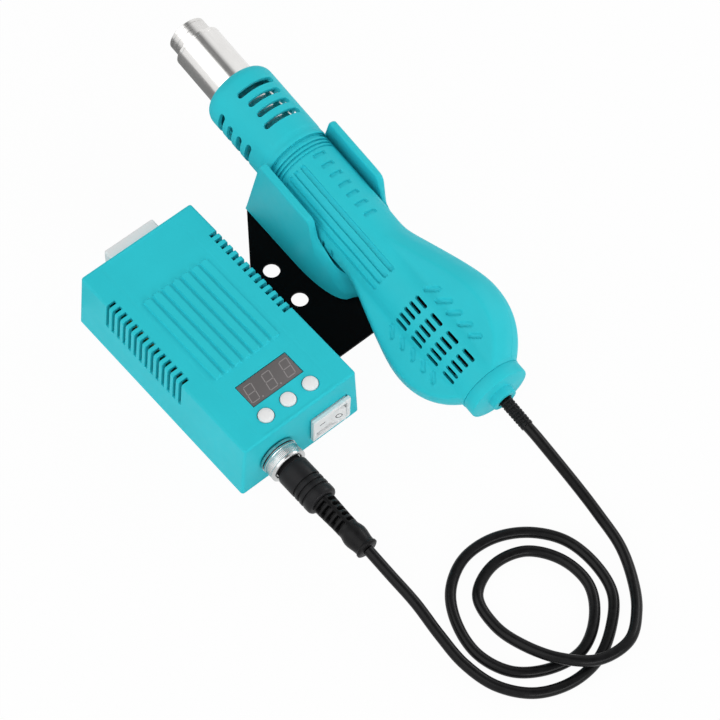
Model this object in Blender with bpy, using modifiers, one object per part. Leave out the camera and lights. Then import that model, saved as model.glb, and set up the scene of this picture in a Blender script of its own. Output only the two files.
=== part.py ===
"""Hot-air rework station: controller box, handset in its cradle, and the cable between them.

Metres, +Z up. The origin is the centre of the controller's underside. +Y runs along the box
towards its mains inlet, and the handset lies beside it on the +X side with its nozzle towards +Y.
"""
import math

import bmesh
import bpy
from mathutils import Matrix, Vector

# General fits
FIT = 0.0003
BOARD = 0.0016
SEGMENTS = 32

# Controller case
CASE_LENGTH = 0.110
CASE_WIDTH = 0.060
CASE_HEIGHT = 0.033
CASE_DRAFT_X = 0.0022
CASE_DRAFT_Y = 0.0008
CASE_WALL = 0.002
CASE_CORNER = 0.0020
CASE_INNER_CORNER = 0.0010
CASE_TOP_ROUND = 0.0010
BASE_THICKNESS = 0.002
VENT_COUNT = 14
VENT_PITCH = 0.00375
VENT_WIDTH = 0.0019
VENT_REAR_INSET = 0.0188
VENT_REACH = 0.0043
VENT_BOTTOM = 0.0175
POST_RADIUS = 0.003
POST_X = 0.0225
POST_FRONT_INSET = 0.0145
POST_REAR_INSET = 0.0075
SCREW_RADIUS = 0.0013
SCREW_HEAD_RADIUS = 0.0027
SCREW_HEAD_HEIGHT = 0.0013
SCREW_LENGTH = 0.0085

# Display and buttons
DISPLAY_WIDTH = 0.0266
DISPLAY_LENGTH = 0.0118
DISPLAY_INSET = 0.0205
LENS_THICKNESS = 0.0014
LENS_SUNK = 0.0003
MODULE_WALL = 0.0015
BUTTON_RADIUS = 0.0035
BUTTON_PITCH = 0.012
BUTTON_INSET = 0.0082
BUTTON_RISE = 0.0012
BUTTON_FLANGE = 0.0043
BUTTON_FLANGE_THICKNESS = 0.001
BUTTON_TRAVEL = 0.0008
TACT_SIZE = 0.006
TACT_HEIGHT = 0.0035
TACT_PLUNGER_RADIUS = 0.0017
TACT_PLUNGER_HEIGHT = 0.0009
CONTROL_BOARD_TOP = 0.0222
CONTROL_BOARD_WIDTH = 0.038
CONTROL_BOARD_LENGTH = 0.0297
CONTROL_BOARD_INSET = 0.0048
BOARD_POST_INSET = 0.003

# Mains rocker
ROCKER_INSET = 0.0150
ROCKER_Z = 0.0137
BEZEL_WIDTH = 0.0205
BEZEL_HEIGHT = 0.0150
BEZEL_THICKNESS = 0.0020
SWITCH_WIDTH = 0.0188
SWITCH_HEIGHT = 0.0128
SWITCH_DEPTH = 0.0115
ROCKER_HALF_LENGTH = 0.0073
ROCKER_HALF_HEIGHT = 0.0050
ROCKER_RISE = 0.0030
ROCKER_DISH = 0.0016
ROCKER_BACK = 0.0042
ROCKER_SHOULDER = 0.0025
ROCKER_REST_DEG = -10.0
ROCKER_PIVOT_INSET = 0.0008

# Mains inlet
INLET_WIDTH = 0.0266
INLET_HEIGHT = 0.0200
INLET_BODY_DEPTH = 0.0160
INLET_REACH = 0.0075
INLET_X = 0.0018
INLET_Z = 0.0160
INLET_WALL = 0.0025
INLET_FLOOR = 0.003
INLET_ROUND = 0.0006
INLET_CHAMFER = 0.004
PIN_WIDTH = 0.0040
PIN_THICKNESS = 0.0020
PIN_LENGTH = 0.0110
PIN_SPREAD = 0.0070
PIN_RAISE = 0.0030

# Panel socket, lock ring and plug
SOCKET_X = -0.0135
SOCKET_Z = 0.0145
SOCKET_RADIUS = 0.0064
SOCKET_REACH = 0.0072
SOCKET_DEPTH = 0.0054
SOCKET_LIP = 0.0012
SOCKET_WELL = 0.0045
FLANGE_RADIUS = 0.0090
FLANGE_THICKNESS = 0.0012
NUT_RADIUS = 0.0085
NUT_THICKNESS = 0.0020
RING_RADIUS = 0.0088
RING_LENGTH = 0.0066
RING_CLEARANCE = 0.0004
PLUG_RADIUS = 0.0074
PLUG_LENGTH = 0.0212
PLUG_GROOVES = 3
PLUG_GROOVE_PITCH = 0.0028
PLUG_GROOVE_INSET = 0.0019
PLUG_GROOVE_HALF = 0.0007
PLUG_GROOVE_DEPTH = 0.0008
BOOT_LENGTH = 0.0160
BOOT_START_RADIUS = 0.00525
BOOT_END_RADIUS = 0.00455
BULGE_RADIUS = 0.0054
BULGE_LENGTH = 0.0120

# Boards and components inside the case
POWER_BOARD_WIDTH = 0.044
POWER_BOARD_FRONT_INSET = 0.038
POWER_BOARD_REAR_INSET = 0.013
POWER_BOARD_BOTTOM = 0.0060
PEG_RADIUS = 0.0025
PEG_INSET = 0.004
TRANSFORMER_SIZE = (0.020, 0.022, 0.016)
TRANSFORMER_ROUND = 0.0012
TRANSFORMER_X = -0.0095
REAR_MARGIN = 0.003
CAPACITOR_RADIUS = 0.005
CAPACITOR_HEIGHT = 0.016
CAPACITOR_X = 0.0140
HEATSINK_SIZE = (0.024, 0.010, 0.013)
HEATSINK_X = -0.0080
HEATSINK_SHARE = 0.603
HEATSINK_WEB = 0.003
HEATSINK_FINS = 5
FIN_THICKNESS = 0.0014
TRIAC_SIZE = (0.010, 0.0045, 0.0120)
FUSE_RADIUS = 0.0025
FUSE_LENGTH = 0.020
FUSE_X = 0.0145
FUSE_SHARE = 0.587

# Bracket and cradle
BRACKET_THICKNESS = 0.0014
BRACKET_LEFT = 0.038
BRACKET_RIGHT = 0.098
BRACKET_FRONT = -0.031
BRACKET_REAR = 0.053
BRACKET_CUT_X = 0.060
BRACKET_CUT_Y = 0.0235
BRACKET_HOLE_RADIUS = 0.00385
BRACKET_HOLE_X = 0.0481
BRACKET_HOLE_YS = (0.0022, 0.0215)
CRADLE_HALF_WIDTH = 0.0208
CRADLE_REAR = 0.0266
CRADLE_FRONT = -0.0400
CRADLE_NOSE_HALF_WIDTH = 0.0110
CRADLE_SWEEP = 0.0300
CRADLE_RIM_REAR = 0.0165
CRADLE_RIM_FRONT = -0.0165
CRADLE_RIM_ABOVE_AXIS = 0.0138
CRADLE_SHOULDER_HEIGHT = 0.0310
CRADLE_NOSE_HEIGHT = 0.0060
TROUGH_CLEARANCE = 0.0004
MAGNET_RADIUS = 0.003
MAGNET_HEIGHT = 0.004
CRADLE_SCREW_SPACING = 0.036

# Handset: place of its axis, and turned sizes along it (s is measured from the cradle's middle)
AXIS_POINT = (0.0792, 0.0260, 0.0320)
AXIS_YAW_DEG = 2.6
AXIS_TILT_DEG = 4.2
AXIS_ROLL_DEG = 41.5
GRIP_RADIUS = 0.0163
SHELL_WALL = 0.0020
SHELL_FRONT = 0.0187
COLLAR_FRONT = 0.0260
COLLAR_RADIUS = 0.0144
COLLAR_WALL = 0.0016
SHELL_REAR = -0.1177
FAN_S = -0.0880
FAN_HALF_WIDTH = 0.0290
FAN_REAR_REACH = 0.0330
FLANK_SLOPE = 0.375
FLANK_START = 0.0120
FAN_TOP = 0.0120
FAN_BOTTOM = 0.0118
TAIL_RADIUS = 0.0144
TAIL_BORE = 0.0110
GRILLE_ROWS = 4
GRILLE_COLUMNS = 5
GRILLE_ROW_PITCH = 0.0103
GRILLE_COLUMN_PITCH = 0.0034
GRILLE_SLOT_LENGTH = 0.0072
GRILLE_SLOT_WIDTH = 0.0014
GRILLE_FIRST_S = -0.0770
GUARD_RADIUS = 0.0168
GUARD_WALL = 0.0020
GUARD_REAR = 0.0190
GUARD_SHOULDER = 0.0565
GUARD_FRONT = 0.0620
GUARD_SLOT_PITCH = 0.0064
GUARD_SLOT_WIDTH = 0.0026
GUARD_FIRST_SLOT = 0.0312
GUARD_SLOT_ROWS = 4
GUARD_SLOT_CENTRES_DEG = (4.0, 102.0, 184.0, 266.0)
GUARD_SLOT_LONG_DEG = 32.0
GUARD_SLOT_SHORT_DEG = 28.0
TUBE_RADIUS = 0.0115
TUBE_WALL = 0.0008
TUBE_FRONT = 0.0897
TUBE_CLEARANCE = 0.0003
SLEEVE_RADIUS = 0.0093
SLEEVE_WALL = 0.0008
SLEEVE_FRONT = 0.0980
HEATER_FLANGE_S = 0.0200
HEATER_FLANGE_THICKNESS = 0.0020
HEATER_PORTS = 4
HEATER_PORT_RADIUS = 0.0014
HEATER_PORT_CIRCLE = 0.0055
CORE_RADIUS = 0.0050
CORE_FIN = 0.0012
CORE_FRONT = 0.0800
COIL_RADIUS = 0.0060
COIL_WIRE = 0.00045
COIL_PITCH = 0.0050
COIL_TURNS = 10
THERMOCOUPLE_RADIUS = 0.0006
THERMOCOUPLE_OFFSET = 0.0074
THERMOCOUPLE_FRONT = 0.0840
SCROLL_RADIUS = 0.0205
SCROLL_WALL = 0.0012
SCROLL_FLOOR = -0.0087
SCROLL_TOP = 0.0070
SCROLL_MOUTH = 0.0120
SCROLL_MOUTH_START = 0.0100
MOTOR_RADIUS = 0.0085
MOTOR_FLOOR = -0.0108
MOTOR_TOP = -0.0017
ROTOR_RADIUS = 0.0178
ROTOR_HUB_RADIUS = 0.0055
ROTOR_HEIGHT = 0.0085
ROTOR_DISC = 0.0014
ROTOR_BLADES = 9
BLADE_THICKNESS = 0.0011
HANDLE_SCREW_PLACES = ((0.0088, 0.005), (-0.0088, 0.005), (0.0100, -0.050), (-0.0100, -0.050))
HANDLE_POST_RADIUS = 0.0041
HANDLE_SCREW_HEAD_TOP = -0.0072
HANDLE_SCREW_TIP = 0.0060
TAIL_DISC_REAR = -0.1237
TAIL_SPIGOT = 0.0040
BOSS_RADIUS = 0.0059
BOSS_LENGTH = 0.0038
RELIEF_START_RADIUS = 0.00305
RELIEF_END_RADIUS = 0.00280
RELIEF_END = -0.1419
REED_RADIUS = 0.0011
REED_LENGTH = 0.014
REED_DROP = 0.0128
REED_S = -0.0100

# Cable between the box and the handset, its middle line in the order it leaves the handset
CORD_RADIUS = 0.0024
CORD_STEP = 0.0110
CORD_POINTS = (
    (0.0720, -0.1159, 0.0215), (0.0727, -0.1311, 0.0180), (0.0733, -0.1458, 0.0129),
    (0.0735, -0.1603, 0.0072), (0.0720, -0.1754, 0.0035), (0.0656, -0.1896, 0.0031),
    (0.0561, -0.2017, 0.0056), (0.0434, -0.2102, 0.0080), (0.0282, -0.2086, 0.0083),
    (0.0167, -0.1983, 0.0081), (0.0099, -0.1845, 0.0064), (0.0078, -0.1694, 0.0032),
    (0.0116, -0.1545, 0.0025), (0.0255, -0.1482, 0.0025), (0.0404, -0.1518, 0.0025),
    (0.0495, -0.1644, 0.0025), (0.0503, -0.1798, 0.0025), (0.0416, -0.1924, 0.0025),
    (0.0279, -0.1997, 0.0025), (0.0126, -0.1974, 0.0025), (-0.0002, -0.1887, 0.0025),
    (-0.0059, -0.1745, 0.0025), (-0.0036, -0.1591, 0.0025), (0.0044, -0.1459, 0.0025),
    (0.0180, -0.1383, 0.0025), (0.0335, -0.1388, 0.0025), (0.0472, -0.1461, 0.0025),
    (0.0565, -0.1585, 0.0025), (0.0587, -0.1739, 0.0025), (0.0550, -0.1890, 0.0025),
    (0.0439, -0.1998, 0.0025), (0.0300, -0.2068, 0.0025), (0.0145, -0.2073, 0.0025),
    (0.0002, -0.2012, 0.0025), (-0.0095, -0.1890, 0.0026), (-0.0134, -0.1740, 0.0038),
    (-0.0137, -0.1588, 0.0070), (-0.0131, -0.1436, 0.0107), (-0.0134, -0.1281, 0.0129),
    (-0.0121, -0.1127, 0.0145),
)

# Colours from the photograph, as linear values
TEAL = (0.010, 0.440, 0.500)
WHITE = (0.86, 0.86, 0.84)
STEEL = (0.62, 0.60, 0.57)
BLACK = (0.012, 0.012, 0.013)
SMOKE = (0.060, 0.066, 0.070)
BOARD_GREEN = (0.015, 0.120, 0.045)
COPPER = (0.55, 0.27, 0.10)
CERAMIC = (0.80, 0.78, 0.72)
SILVER = (0.75, 0.75, 0.74)

for leftover in list(bpy.data.objects):
    bpy.data.objects.remove(leftover, do_unlink=True)

parts = bpy.data.collections.new("bga_rework_station")
cutters = bpy.data.collections.new("cutters")
bpy.context.scene.collection.children.link(parts)
bpy.context.scene.collection.children.link(cutters)


def material(name, colour, roughness, metallic=0.0):
    """A Principled material with the part's own colour."""
    mat = bpy.data.materials.new(name)
    mat.use_nodes = True
    shader = mat.node_tree.nodes["Principled BSDF"]
    shader.inputs["Base Color"].default_value = (*colour, 1.0)
    shader.inputs["Roughness"].default_value = roughness
    shader.inputs["Metallic"].default_value = metallic
    return mat


def place(name, mesh, parent=None):
    """Link a mesh as a scratch object under the given empty."""
    obj = bpy.data.objects.new(name, mesh)
    cutters.objects.link(obj)
    obj.hide_render = True
    obj.display_type = 'WIRE'
    obj.parent = parent
    return obj


def finish(obj, colour, roughness=0.4, metallic=0.0, name=None):
    """Turn a scratch solid into a part: its own collection, material and shading."""
    if name:
        obj.name = name
    cutters.objects.unlink(obj)
    parts.objects.link(obj)
    obj.hide_render = False
    obj.display_type = 'TEXTURED'
    obj.data.name = obj.name
    obj.data.materials.clear()
    obj.data.materials.append(material(obj.name, colour, roughness, metallic))
    obj.data.shade_smooth()
    obj.data.set_sharp_from_angle(angle=math.radians(32.0))
    return obj


def mesh_from(name, build):
    """Run a bmesh builder, face it outwards and return the mesh."""
    bm = bmesh.new()
    build(bm)
    bmesh.ops.recalc_face_normals(bm, faces=bm.faces)
    mesh = bpy.data.meshes.new(name)
    bm.to_mesh(mesh)
    bm.free()
    return mesh


def block(name, low, high, bevel=0.0, parent=None, segments=2):
    """A box between two corners, with its edges rounded."""
    def build(bm):
        bmesh.ops.create_cube(bm, size=1.0)
        size = Vector(high) - Vector(low)
        centre = (Vector(high) + Vector(low)) / 2.0
        bmesh.ops.scale(bm, vec=size, verts=bm.verts)
        bmesh.ops.translate(bm, vec=centre, verts=bm.verts)
        if bevel > 0.0:
            bmesh.ops.bevel(bm, geom=bm.edges[:], offset=bevel, segments=segments,
                            profile=0.5, affect='EDGES')
    return place(name, mesh_from(name, build), parent)


AXIS_TURNS = {
    'Z': Matrix.Identity(4),
    'Y': Matrix.Rotation(math.radians(-90.0), 4, 'X'),
}


def rod(name, radius, start, end, centre=(0.0, 0.0), axis='Z', end_radius=None, parent=None,
        segments=SEGMENTS):
    """A round bar or cone along Z or Y; centre holds the other two coordinates in order."""
    def build(bm):
        bmesh.ops.create_cone(bm, cap_ends=True, segments=segments, radius1=radius,
                              radius2=radius if end_radius is None else end_radius,
                              depth=end - start)
        bmesh.ops.translate(bm, vec=(0.0, 0.0, (start + end) / 2.0), verts=bm.verts)
        bmesh.ops.transform(bm, matrix=AXIS_TURNS[axis], verts=bm.verts)
        shift = (centre[0], centre[1], 0.0) if axis == 'Z' else (centre[0], 0.0, centre[1])
        bmesh.ops.translate(bm, vec=shift, verts=bm.verts)
    return place(name, mesh_from(name, build), parent)


def baked(obj):
    """Replace an object's mesh with its evaluated mesh, facing out."""
    graph = bpy.context.evaluated_depsgraph_get()
    mesh = bpy.data.meshes.new_from_object(obj.evaluated_get(graph))
    bm = bmesh.new()
    bm.from_mesh(mesh)
    bmesh.ops.remove_doubles(bm, verts=bm.verts, dist=0.000001)
    bmesh.ops.recalc_face_normals(bm, faces=bm.faces)
    bm.to_mesh(mesh)
    bm.free()
    solid = place(obj.name, mesh, obj.parent)
    solid.matrix_basis = obj.matrix_basis.copy()
    name = obj.name
    bpy.data.objects.remove(obj, do_unlink=True)
    solid.name = name
    return solid


def turned(name, profile, axis='Y', centre=(0.0, 0.0), closed=True, parent=None,
           segments=SEGMENTS):
    """A Screw modifier on a profile of (radius, distance) points, turned about Z or Y."""
    mesh = bpy.data.meshes.new(name)
    points = [(radius, 0.0, distance) for radius, distance in profile]
    count = len(points)
    edges = [(i, (i + 1) % count) for i in range(count if closed else count - 1)]
    mesh.from_pydata(points, edges, [])
    obj = place(name, mesh, parent)
    screw = obj.modifiers.new("Turn", 'SCREW')
    screw.steps = segments
    screw.render_steps = segments
    screw.use_merge_vertices = True
    screw.merge_threshold = 0.00001
    solid = baked(obj)
    solid.data.transform(AXIS_TURNS[axis])
    shift = (centre[0], centre[1], 0.0) if axis == 'Z' else (centre[0], 0.0, centre[1])
    solid.data.transform(Matrix.Translation(shift))
    return solid


def sheet_cut(name, outline, thickness, matrix=None, parent=None):
    """A flat outline made solid: a filled 2D curve extruded by half its thickness each way."""
    curve = bpy.data.curves.new(name, 'CURVE')
    curve.dimensions = '2D'
    curve.fill_mode = 'BOTH'
    curve.extrude = thickness / 2.0
    spline = curve.splines.new('POLY')
    spline.points.add(len(outline) - 1)
    for point, (x, y) in zip(spline.points, outline):
        point.co = (x, y, 0.0, 1.0)
    spline.use_cyclic_u = True
    solid = baked(place(name, curve, parent))
    if matrix is not None:
        solid.data.transform(matrix)
    return solid


def wire(name, points, radius, resolution=2, parent=None):
    """A POLY curve with a round bevel and filled caps, meshed."""
    curve = bpy.data.curves.new(name, 'CURVE')
    curve.dimensions = '3D'
    curve.bevel_depth = radius
    curve.bevel_resolution = resolution
    curve.resolution_u = 1
    curve.render_resolution_u = 0
    curve.use_fill_caps = True
    spline = curve.splines.new('POLY')
    spline.points.add(len(points) - 1)
    for point, place_at in zip(spline.points, points):
        point.co = (*place_at, 1.0)
    return baked(place(name, curve, parent))


def combine(obj, operation, others):
    """Boolean the other solids into obj one by one, and bake the result."""
    for other in others:
        step = obj.modifiers.new(operation, 'BOOLEAN')
        step.operation = operation
        step.solver = 'EXACT'
        step.object = other
    result = baked(obj)
    for other in others:
        other.hide_set(True)
    return result


def cut(obj, *others):
    return combine(obj, 'DIFFERENCE', others)


def joined(obj, *others):
    return combine(obj, 'UNION', others)


def shared(obj, *others):
    return combine(obj, 'INTERSECT', others)


def group(name, solids, parent=None):
    """Several separate cutters as one mesh, for a pattern."""
    bm = bmesh.new()
    for solid in solids:
        bm.from_mesh(solid.data)
    mesh = bpy.data.meshes.new(name)
    bm.to_mesh(mesh)
    bm.free()
    for solid in solids:
        bpy.data.objects.remove(solid, do_unlink=True)
    return place(name, mesh, parent)


def empty(name, matrix):
    frame = bpy.data.objects.new(name, None)
    parts.objects.link(frame)
    frame.matrix_world = matrix
    return frame


def smooth_route(points, step):
    """Points every step along a Catmull-Rom curve through the route's own points."""
    ends = [2.0 * Vector(points[0]) - Vector(points[1])]
    ends += [Vector(p) for p in points]
    ends.append(2.0 * Vector(points[-1]) - Vector(points[-2]))
    dense = []
    for i in range(1, len(ends) - 2):
        a, b, c, d = ends[i - 1:i + 3]
        for k in range(24):
            t = k / 24.0
            dense.append(0.5 * (2.0 * b + (c - a) * t + (2.0 * a - 5.0 * b + 4.0 * c - d) * t * t
                                + (3.0 * b - a - 3.0 * c + d) * t ** 3))
    dense.append(ends[-2])
    lengths = [0.0]
    for before, after in zip(dense, dense[1:]):
        lengths.append(lengths[-1] + (after - before).length)
    count = max(2, round(lengths[-1] / step))
    route = []
    k = 0
    for i in range(count + 1):
        target = lengths[-1] * i / count
        while k < len(dense) - 2 and lengths[k + 1] < target:
            k += 1
        span = max(lengths[k + 1] - lengths[k], 1e-9)
        route.append(dense[k].lerp(dense[k + 1], (target - lengths[k]) / span))
    return route


def tapered_case(name, length, width, low, high, draft, corner, top_round):
    """A box with drafted sides, rounded upright edges and a small round along its top."""
    def build(bm):
        bmesh.ops.create_cube(bm, size=1.0)
        for vert in bm.verts:
            spread = draft if vert.co.z < 0.0 else (0.0, 0.0)
            vert.co.x = math.copysign(width / 2.0 + spread[0], vert.co.x)
            vert.co.y = math.copysign(length / 2.0 + spread[1], vert.co.y)
            vert.co.z = low if vert.co.z < 0.0 else high
        upright = [e for e in bm.edges
                   if abs(e.verts[0].co.z - e.verts[1].co.z) > (high - low) / 2.0]
        bmesh.ops.bevel(bm, geom=upright, offset=corner, segments=4, profile=0.5,
                        affect='EDGES')
        if top_round > 0.0:
            rim = [e for e in bm.edges if min(v.co.z for v in e.verts) > high - 1e-6]
            bmesh.ops.bevel(bm, geom=rim, offset=top_round, segments=2, profile=0.5,
                            affect='EDGES')
    return place(name, mesh_from(name, build))


HALF_LENGTH = CASE_LENGTH / 2.0
CASE_CEILING = CASE_HEIGHT - CASE_WALL
CASE_FACE = HALF_LENGTH + CASE_DRAFT_Y
CASE_DRAFTS = (CASE_DRAFT_X, CASE_DRAFT_Y)
POST_YS = (POST_FRONT_INSET - HALF_LENGTH, HALF_LENGTH - POST_REAR_INSET)
POST_PLACES = [(sx * POST_X, y) for sx in (-1, 1) for y in POST_YS]
DISPLAY_Y = DISPLAY_INSET - HALF_LENGTH
BUTTON_Y = BUTTON_INSET - HALF_LENGTH
CONTROL_BOARD_FRONT = CONTROL_BOARD_INSET - HALF_LENGTH
CONTROL_BOARD_REAR = CONTROL_BOARD_FRONT + CONTROL_BOARD_LENGTH
POWER_BOARD_FRONT = POWER_BOARD_FRONT_INSET - HALF_LENGTH
POWER_BOARD_REAR = HALF_LENGTH - POWER_BOARD_REAR_INSET
ROCKER_X = CASE_WIDTH / 2.0 - ROCKER_INSET
BEZEL_BACK = -(CASE_FACE + FIT)
BEZEL_FRONT = BEZEL_BACK - BEZEL_THICKNESS
ROCKER_PIVOT = (ROCKER_X, BEZEL_BACK + ROCKER_PIVOT_INSET, ROCKER_Z)
BUTTON_XS = [-BUTTON_PITCH, 0.0, BUTTON_PITCH]
PEG_PLACES = [(sx * (POWER_BOARD_WIDTH / 2.0 - PEG_INSET), y) for sx in (-1, 1)
              for y in (POWER_BOARD_FRONT + PEG_INSET, POWER_BOARD_REAR - PEG_INSET)]
BOARD_PEG_PLACES = [(sx * (CONTROL_BOARD_WIDTH / 2.0 - BOARD_POST_INSET),
                     CONTROL_BOARD_REAR - BOARD_POST_INSET) for sx in (-1, 1)]


def case_cover():
    outer = tapered_case("case_cover", CASE_LENGTH, CASE_WIDTH, 0.0, CASE_HEIGHT, CASE_DRAFTS,
                         CASE_CORNER, CASE_TOP_ROUND)
    inner = tapered_case("case_hollow", CASE_LENGTH - 2.0 * CASE_WALL,
                         CASE_WIDTH - 2.0 * CASE_WALL, -0.001, CASE_CEILING, CASE_DRAFTS,
                         CASE_INNER_CORNER, 0.0)
    cover = cut(outer, inner)
    post_bottom = BASE_THICKNESS + FIT
    posts = [rod("case_post", POST_RADIUS, post_bottom, CASE_CEILING + 0.0005, place_at,
                 segments=16) for place_at in POST_PLACES]
    posts += [rod("board_post", PEG_RADIUS, CONTROL_BOARD_TOP + FIT, CASE_CEILING + 0.0005,
                  place_at, segments=16) for place_at in BOARD_PEG_PLACES]
    cover = joined(cover, group("case_posts", posts))
    screw_top = SCREW_HEAD_HEIGHT + SCREW_LENGTH
    cuts = [rod("post_hole", SCREW_RADIUS + FIT, post_bottom - 0.001, screw_top + 0.0005,
                place_at, segments=12) for place_at in POST_PLACES]
    vent_top = CASE_HEIGHT + 0.001
    for side in (-1, 1):
        for i in range(VENT_COUNT):
            y = HALF_LENGTH - VENT_REAR_INSET - i * VENT_PITCH
            near = side * (CASE_WIDTH / 2.0 - VENT_REACH)
            far = side * (CASE_WIDTH / 2.0 + CASE_DRAFT_X + 0.001)
            cuts.append(block("vent", (min(near, far), y - VENT_WIDTH / 2.0, VENT_BOTTOM),
                              (max(near, far), y + VENT_WIDTH / 2.0, vent_top)))
    window = (DISPLAY_WIDTH / 2.0 + FIT, DISPLAY_LENGTH / 2.0 + FIT)
    cuts.append(block("window", (-window[0], DISPLAY_Y - window[1], CASE_CEILING - 0.001),
                      (window[0], DISPLAY_Y + window[1], vent_top)))
    for x in BUTTON_XS:
        cuts.append(rod("button_hole", BUTTON_RADIUS + FIT, CASE_CEILING - 0.001, vent_top,
                        (x, BUTTON_Y)))
    half = (SWITCH_WIDTH / 2.0 + FIT, SWITCH_HEIGHT / 2.0 + FIT)
    cuts.append(block("switch_hole", (ROCKER_X - half[0], -CASE_FACE - 0.002, ROCKER_Z - half[1]),
                      (ROCKER_X + half[0], -CASE_FACE + 0.004, ROCKER_Z + half[1])))
    cuts.append(rod("socket_hole", SOCKET_RADIUS + FIT, -CASE_FACE - 0.002, -CASE_FACE + 0.004,
                    (SOCKET_X, SOCKET_Z), axis='Y'))
    half = (INLET_WIDTH / 2.0 + FIT, INLET_HEIGHT / 2.0 + FIT)
    cuts.append(block("inlet_hole", (INLET_X - half[0], CASE_FACE - 0.004, INLET_Z - half[1]),
                      (INLET_X + half[0], CASE_FACE + 0.002, INLET_Z + half[1])))
    return finish(cut(cover, group("case_cuts", cuts)), TEAL, 0.38)


def case_base():
    rise = 1.0 - BASE_THICKNESS / CASE_CEILING
    plate = tapered_case("case_base", CASE_LENGTH + 2.0 * (rise * CASE_DRAFT_Y - CASE_WALL - FIT),
                         CASE_WIDTH + 2.0 * (rise * CASE_DRAFT_X - CASE_WALL - FIT),
                         0.0, BASE_THICKNESS, (0.0, 0.0), CASE_INNER_CORNER, 0.0)
    pegs = [rod("board_peg", PEG_RADIUS, BASE_THICKNESS - 0.0005, POWER_BOARD_BOTTOM - FIT,
                place_at, segments=16) for place_at in PEG_PLACES]
    plate = joined(plate, group("base_pegs", pegs))
    holes = []
    for place_at in POST_PLACES:
        holes.append(rod("head_recess", SCREW_HEAD_RADIUS + FIT, -0.001,
                         SCREW_HEAD_HEIGHT + FIT, place_at, segments=20))
    shafts = [rod("shaft_hole", SCREW_RADIUS + FIT, 0.0005, BASE_THICKNESS + 0.001, place_at,
                  segments=12) for place_at in POST_PLACES]
    plate = cut(plate, group("head_recesses", holes), group("shaft_holes", shafts))
    finish(plate, BLACK, 0.5)
    for i, place_at in enumerate(POST_PLACES, 1):
        screw = turned(f"case_screw_{i}", [
            (0.0, SCREW_HEAD_HEIGHT + SCREW_LENGTH), (SCREW_RADIUS, SCREW_HEAD_HEIGHT + SCREW_LENGTH),
            (SCREW_RADIUS, SCREW_HEAD_HEIGHT), (SCREW_HEAD_RADIUS, SCREW_HEAD_HEIGHT),
            (SCREW_HEAD_RADIUS, 0.0001), (0.0, 0.0001)], axis='Z', centre=place_at,
            closed=False, segments=16)
        finish(screw, SILVER, 0.35, 1.0)


def control_panel():
    """Display, its board, and the three sprung buttons over their switches."""
    board_low = CONTROL_BOARD_TOP - BOARD
    half = CONTROL_BOARD_WIDTH / 2.0
    finish(block("control_board", (-half, CONTROL_BOARD_FRONT, board_low),
                 (half, CONTROL_BOARD_REAR, CONTROL_BOARD_TOP)), BOARD_GREEN, 0.5)
    lens_low = CASE_HEIGHT - LENS_SUNK - LENS_THICKNESS
    half = (DISPLAY_WIDTH / 2.0, DISPLAY_LENGTH / 2.0)
    finish(block("display_lens", (-half[0], DISPLAY_Y - half[1], lens_low),
                 (half[0], DISPLAY_Y + half[1], lens_low + LENS_THICKNESS)), SMOKE, 0.18)
    module_top = min(lens_low, CASE_CEILING) - FIT
    finish(block("display_module",
                 (-half[0] + MODULE_WALL, DISPLAY_Y - half[1] + MODULE_WALL / 2.0,
                  CONTROL_BOARD_TOP + FIT),
                 (half[0] - MODULE_WALL, DISPLAY_Y + half[1] - MODULE_WALL / 2.0, module_top)),
           WHITE, 0.5)
    for i, x in enumerate(BUTTON_XS, 1):
        tact_top = CONTROL_BOARD_TOP + FIT + TACT_HEIGHT
        body = block(f"tact_switch_{i}",
                     (x - TACT_SIZE / 2.0, BUTTON_Y - TACT_SIZE / 2.0, CONTROL_BOARD_TOP + FIT),
                     (x + TACT_SIZE / 2.0, BUTTON_Y + TACT_SIZE / 2.0, tact_top))
        plunger = rod("plunger", TACT_PLUNGER_RADIUS, tact_top - 0.0005,
                      tact_top + TACT_PLUNGER_HEIGHT, (x, BUTTON_Y), segments=16)
        finish(joined(body, plunger), BLACK, 0.4)
        stem_low = tact_top + TACT_PLUNGER_HEIGHT + BUTTON_TRAVEL + FIT
        flange_top = CASE_CEILING - FIT
        top = CASE_HEIGHT + BUTTON_RISE
        button = turned(f"button_{i}", [
            (0.0, top), (BUTTON_RADIUS * 0.45, top - 0.0001), (BUTTON_RADIUS * 0.82, top - 0.0005),
            (BUTTON_RADIUS, top - 0.0012), (BUTTON_RADIUS, flange_top),
            (BUTTON_FLANGE, flange_top), (BUTTON_FLANGE, flange_top - BUTTON_FLANGE_THICKNESS),
            (TACT_PLUNGER_RADIUS, flange_top - BUTTON_FLANGE_THICKNESS),
            (TACT_PLUNGER_RADIUS, stem_low), (0.0, stem_low)], axis='Z',
            centre=(0.0, 0.0), closed=False, segments=20)
        button.location = (x, BUTTON_Y, 0.0)
        finish(button, WHITE, 0.35)


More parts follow.
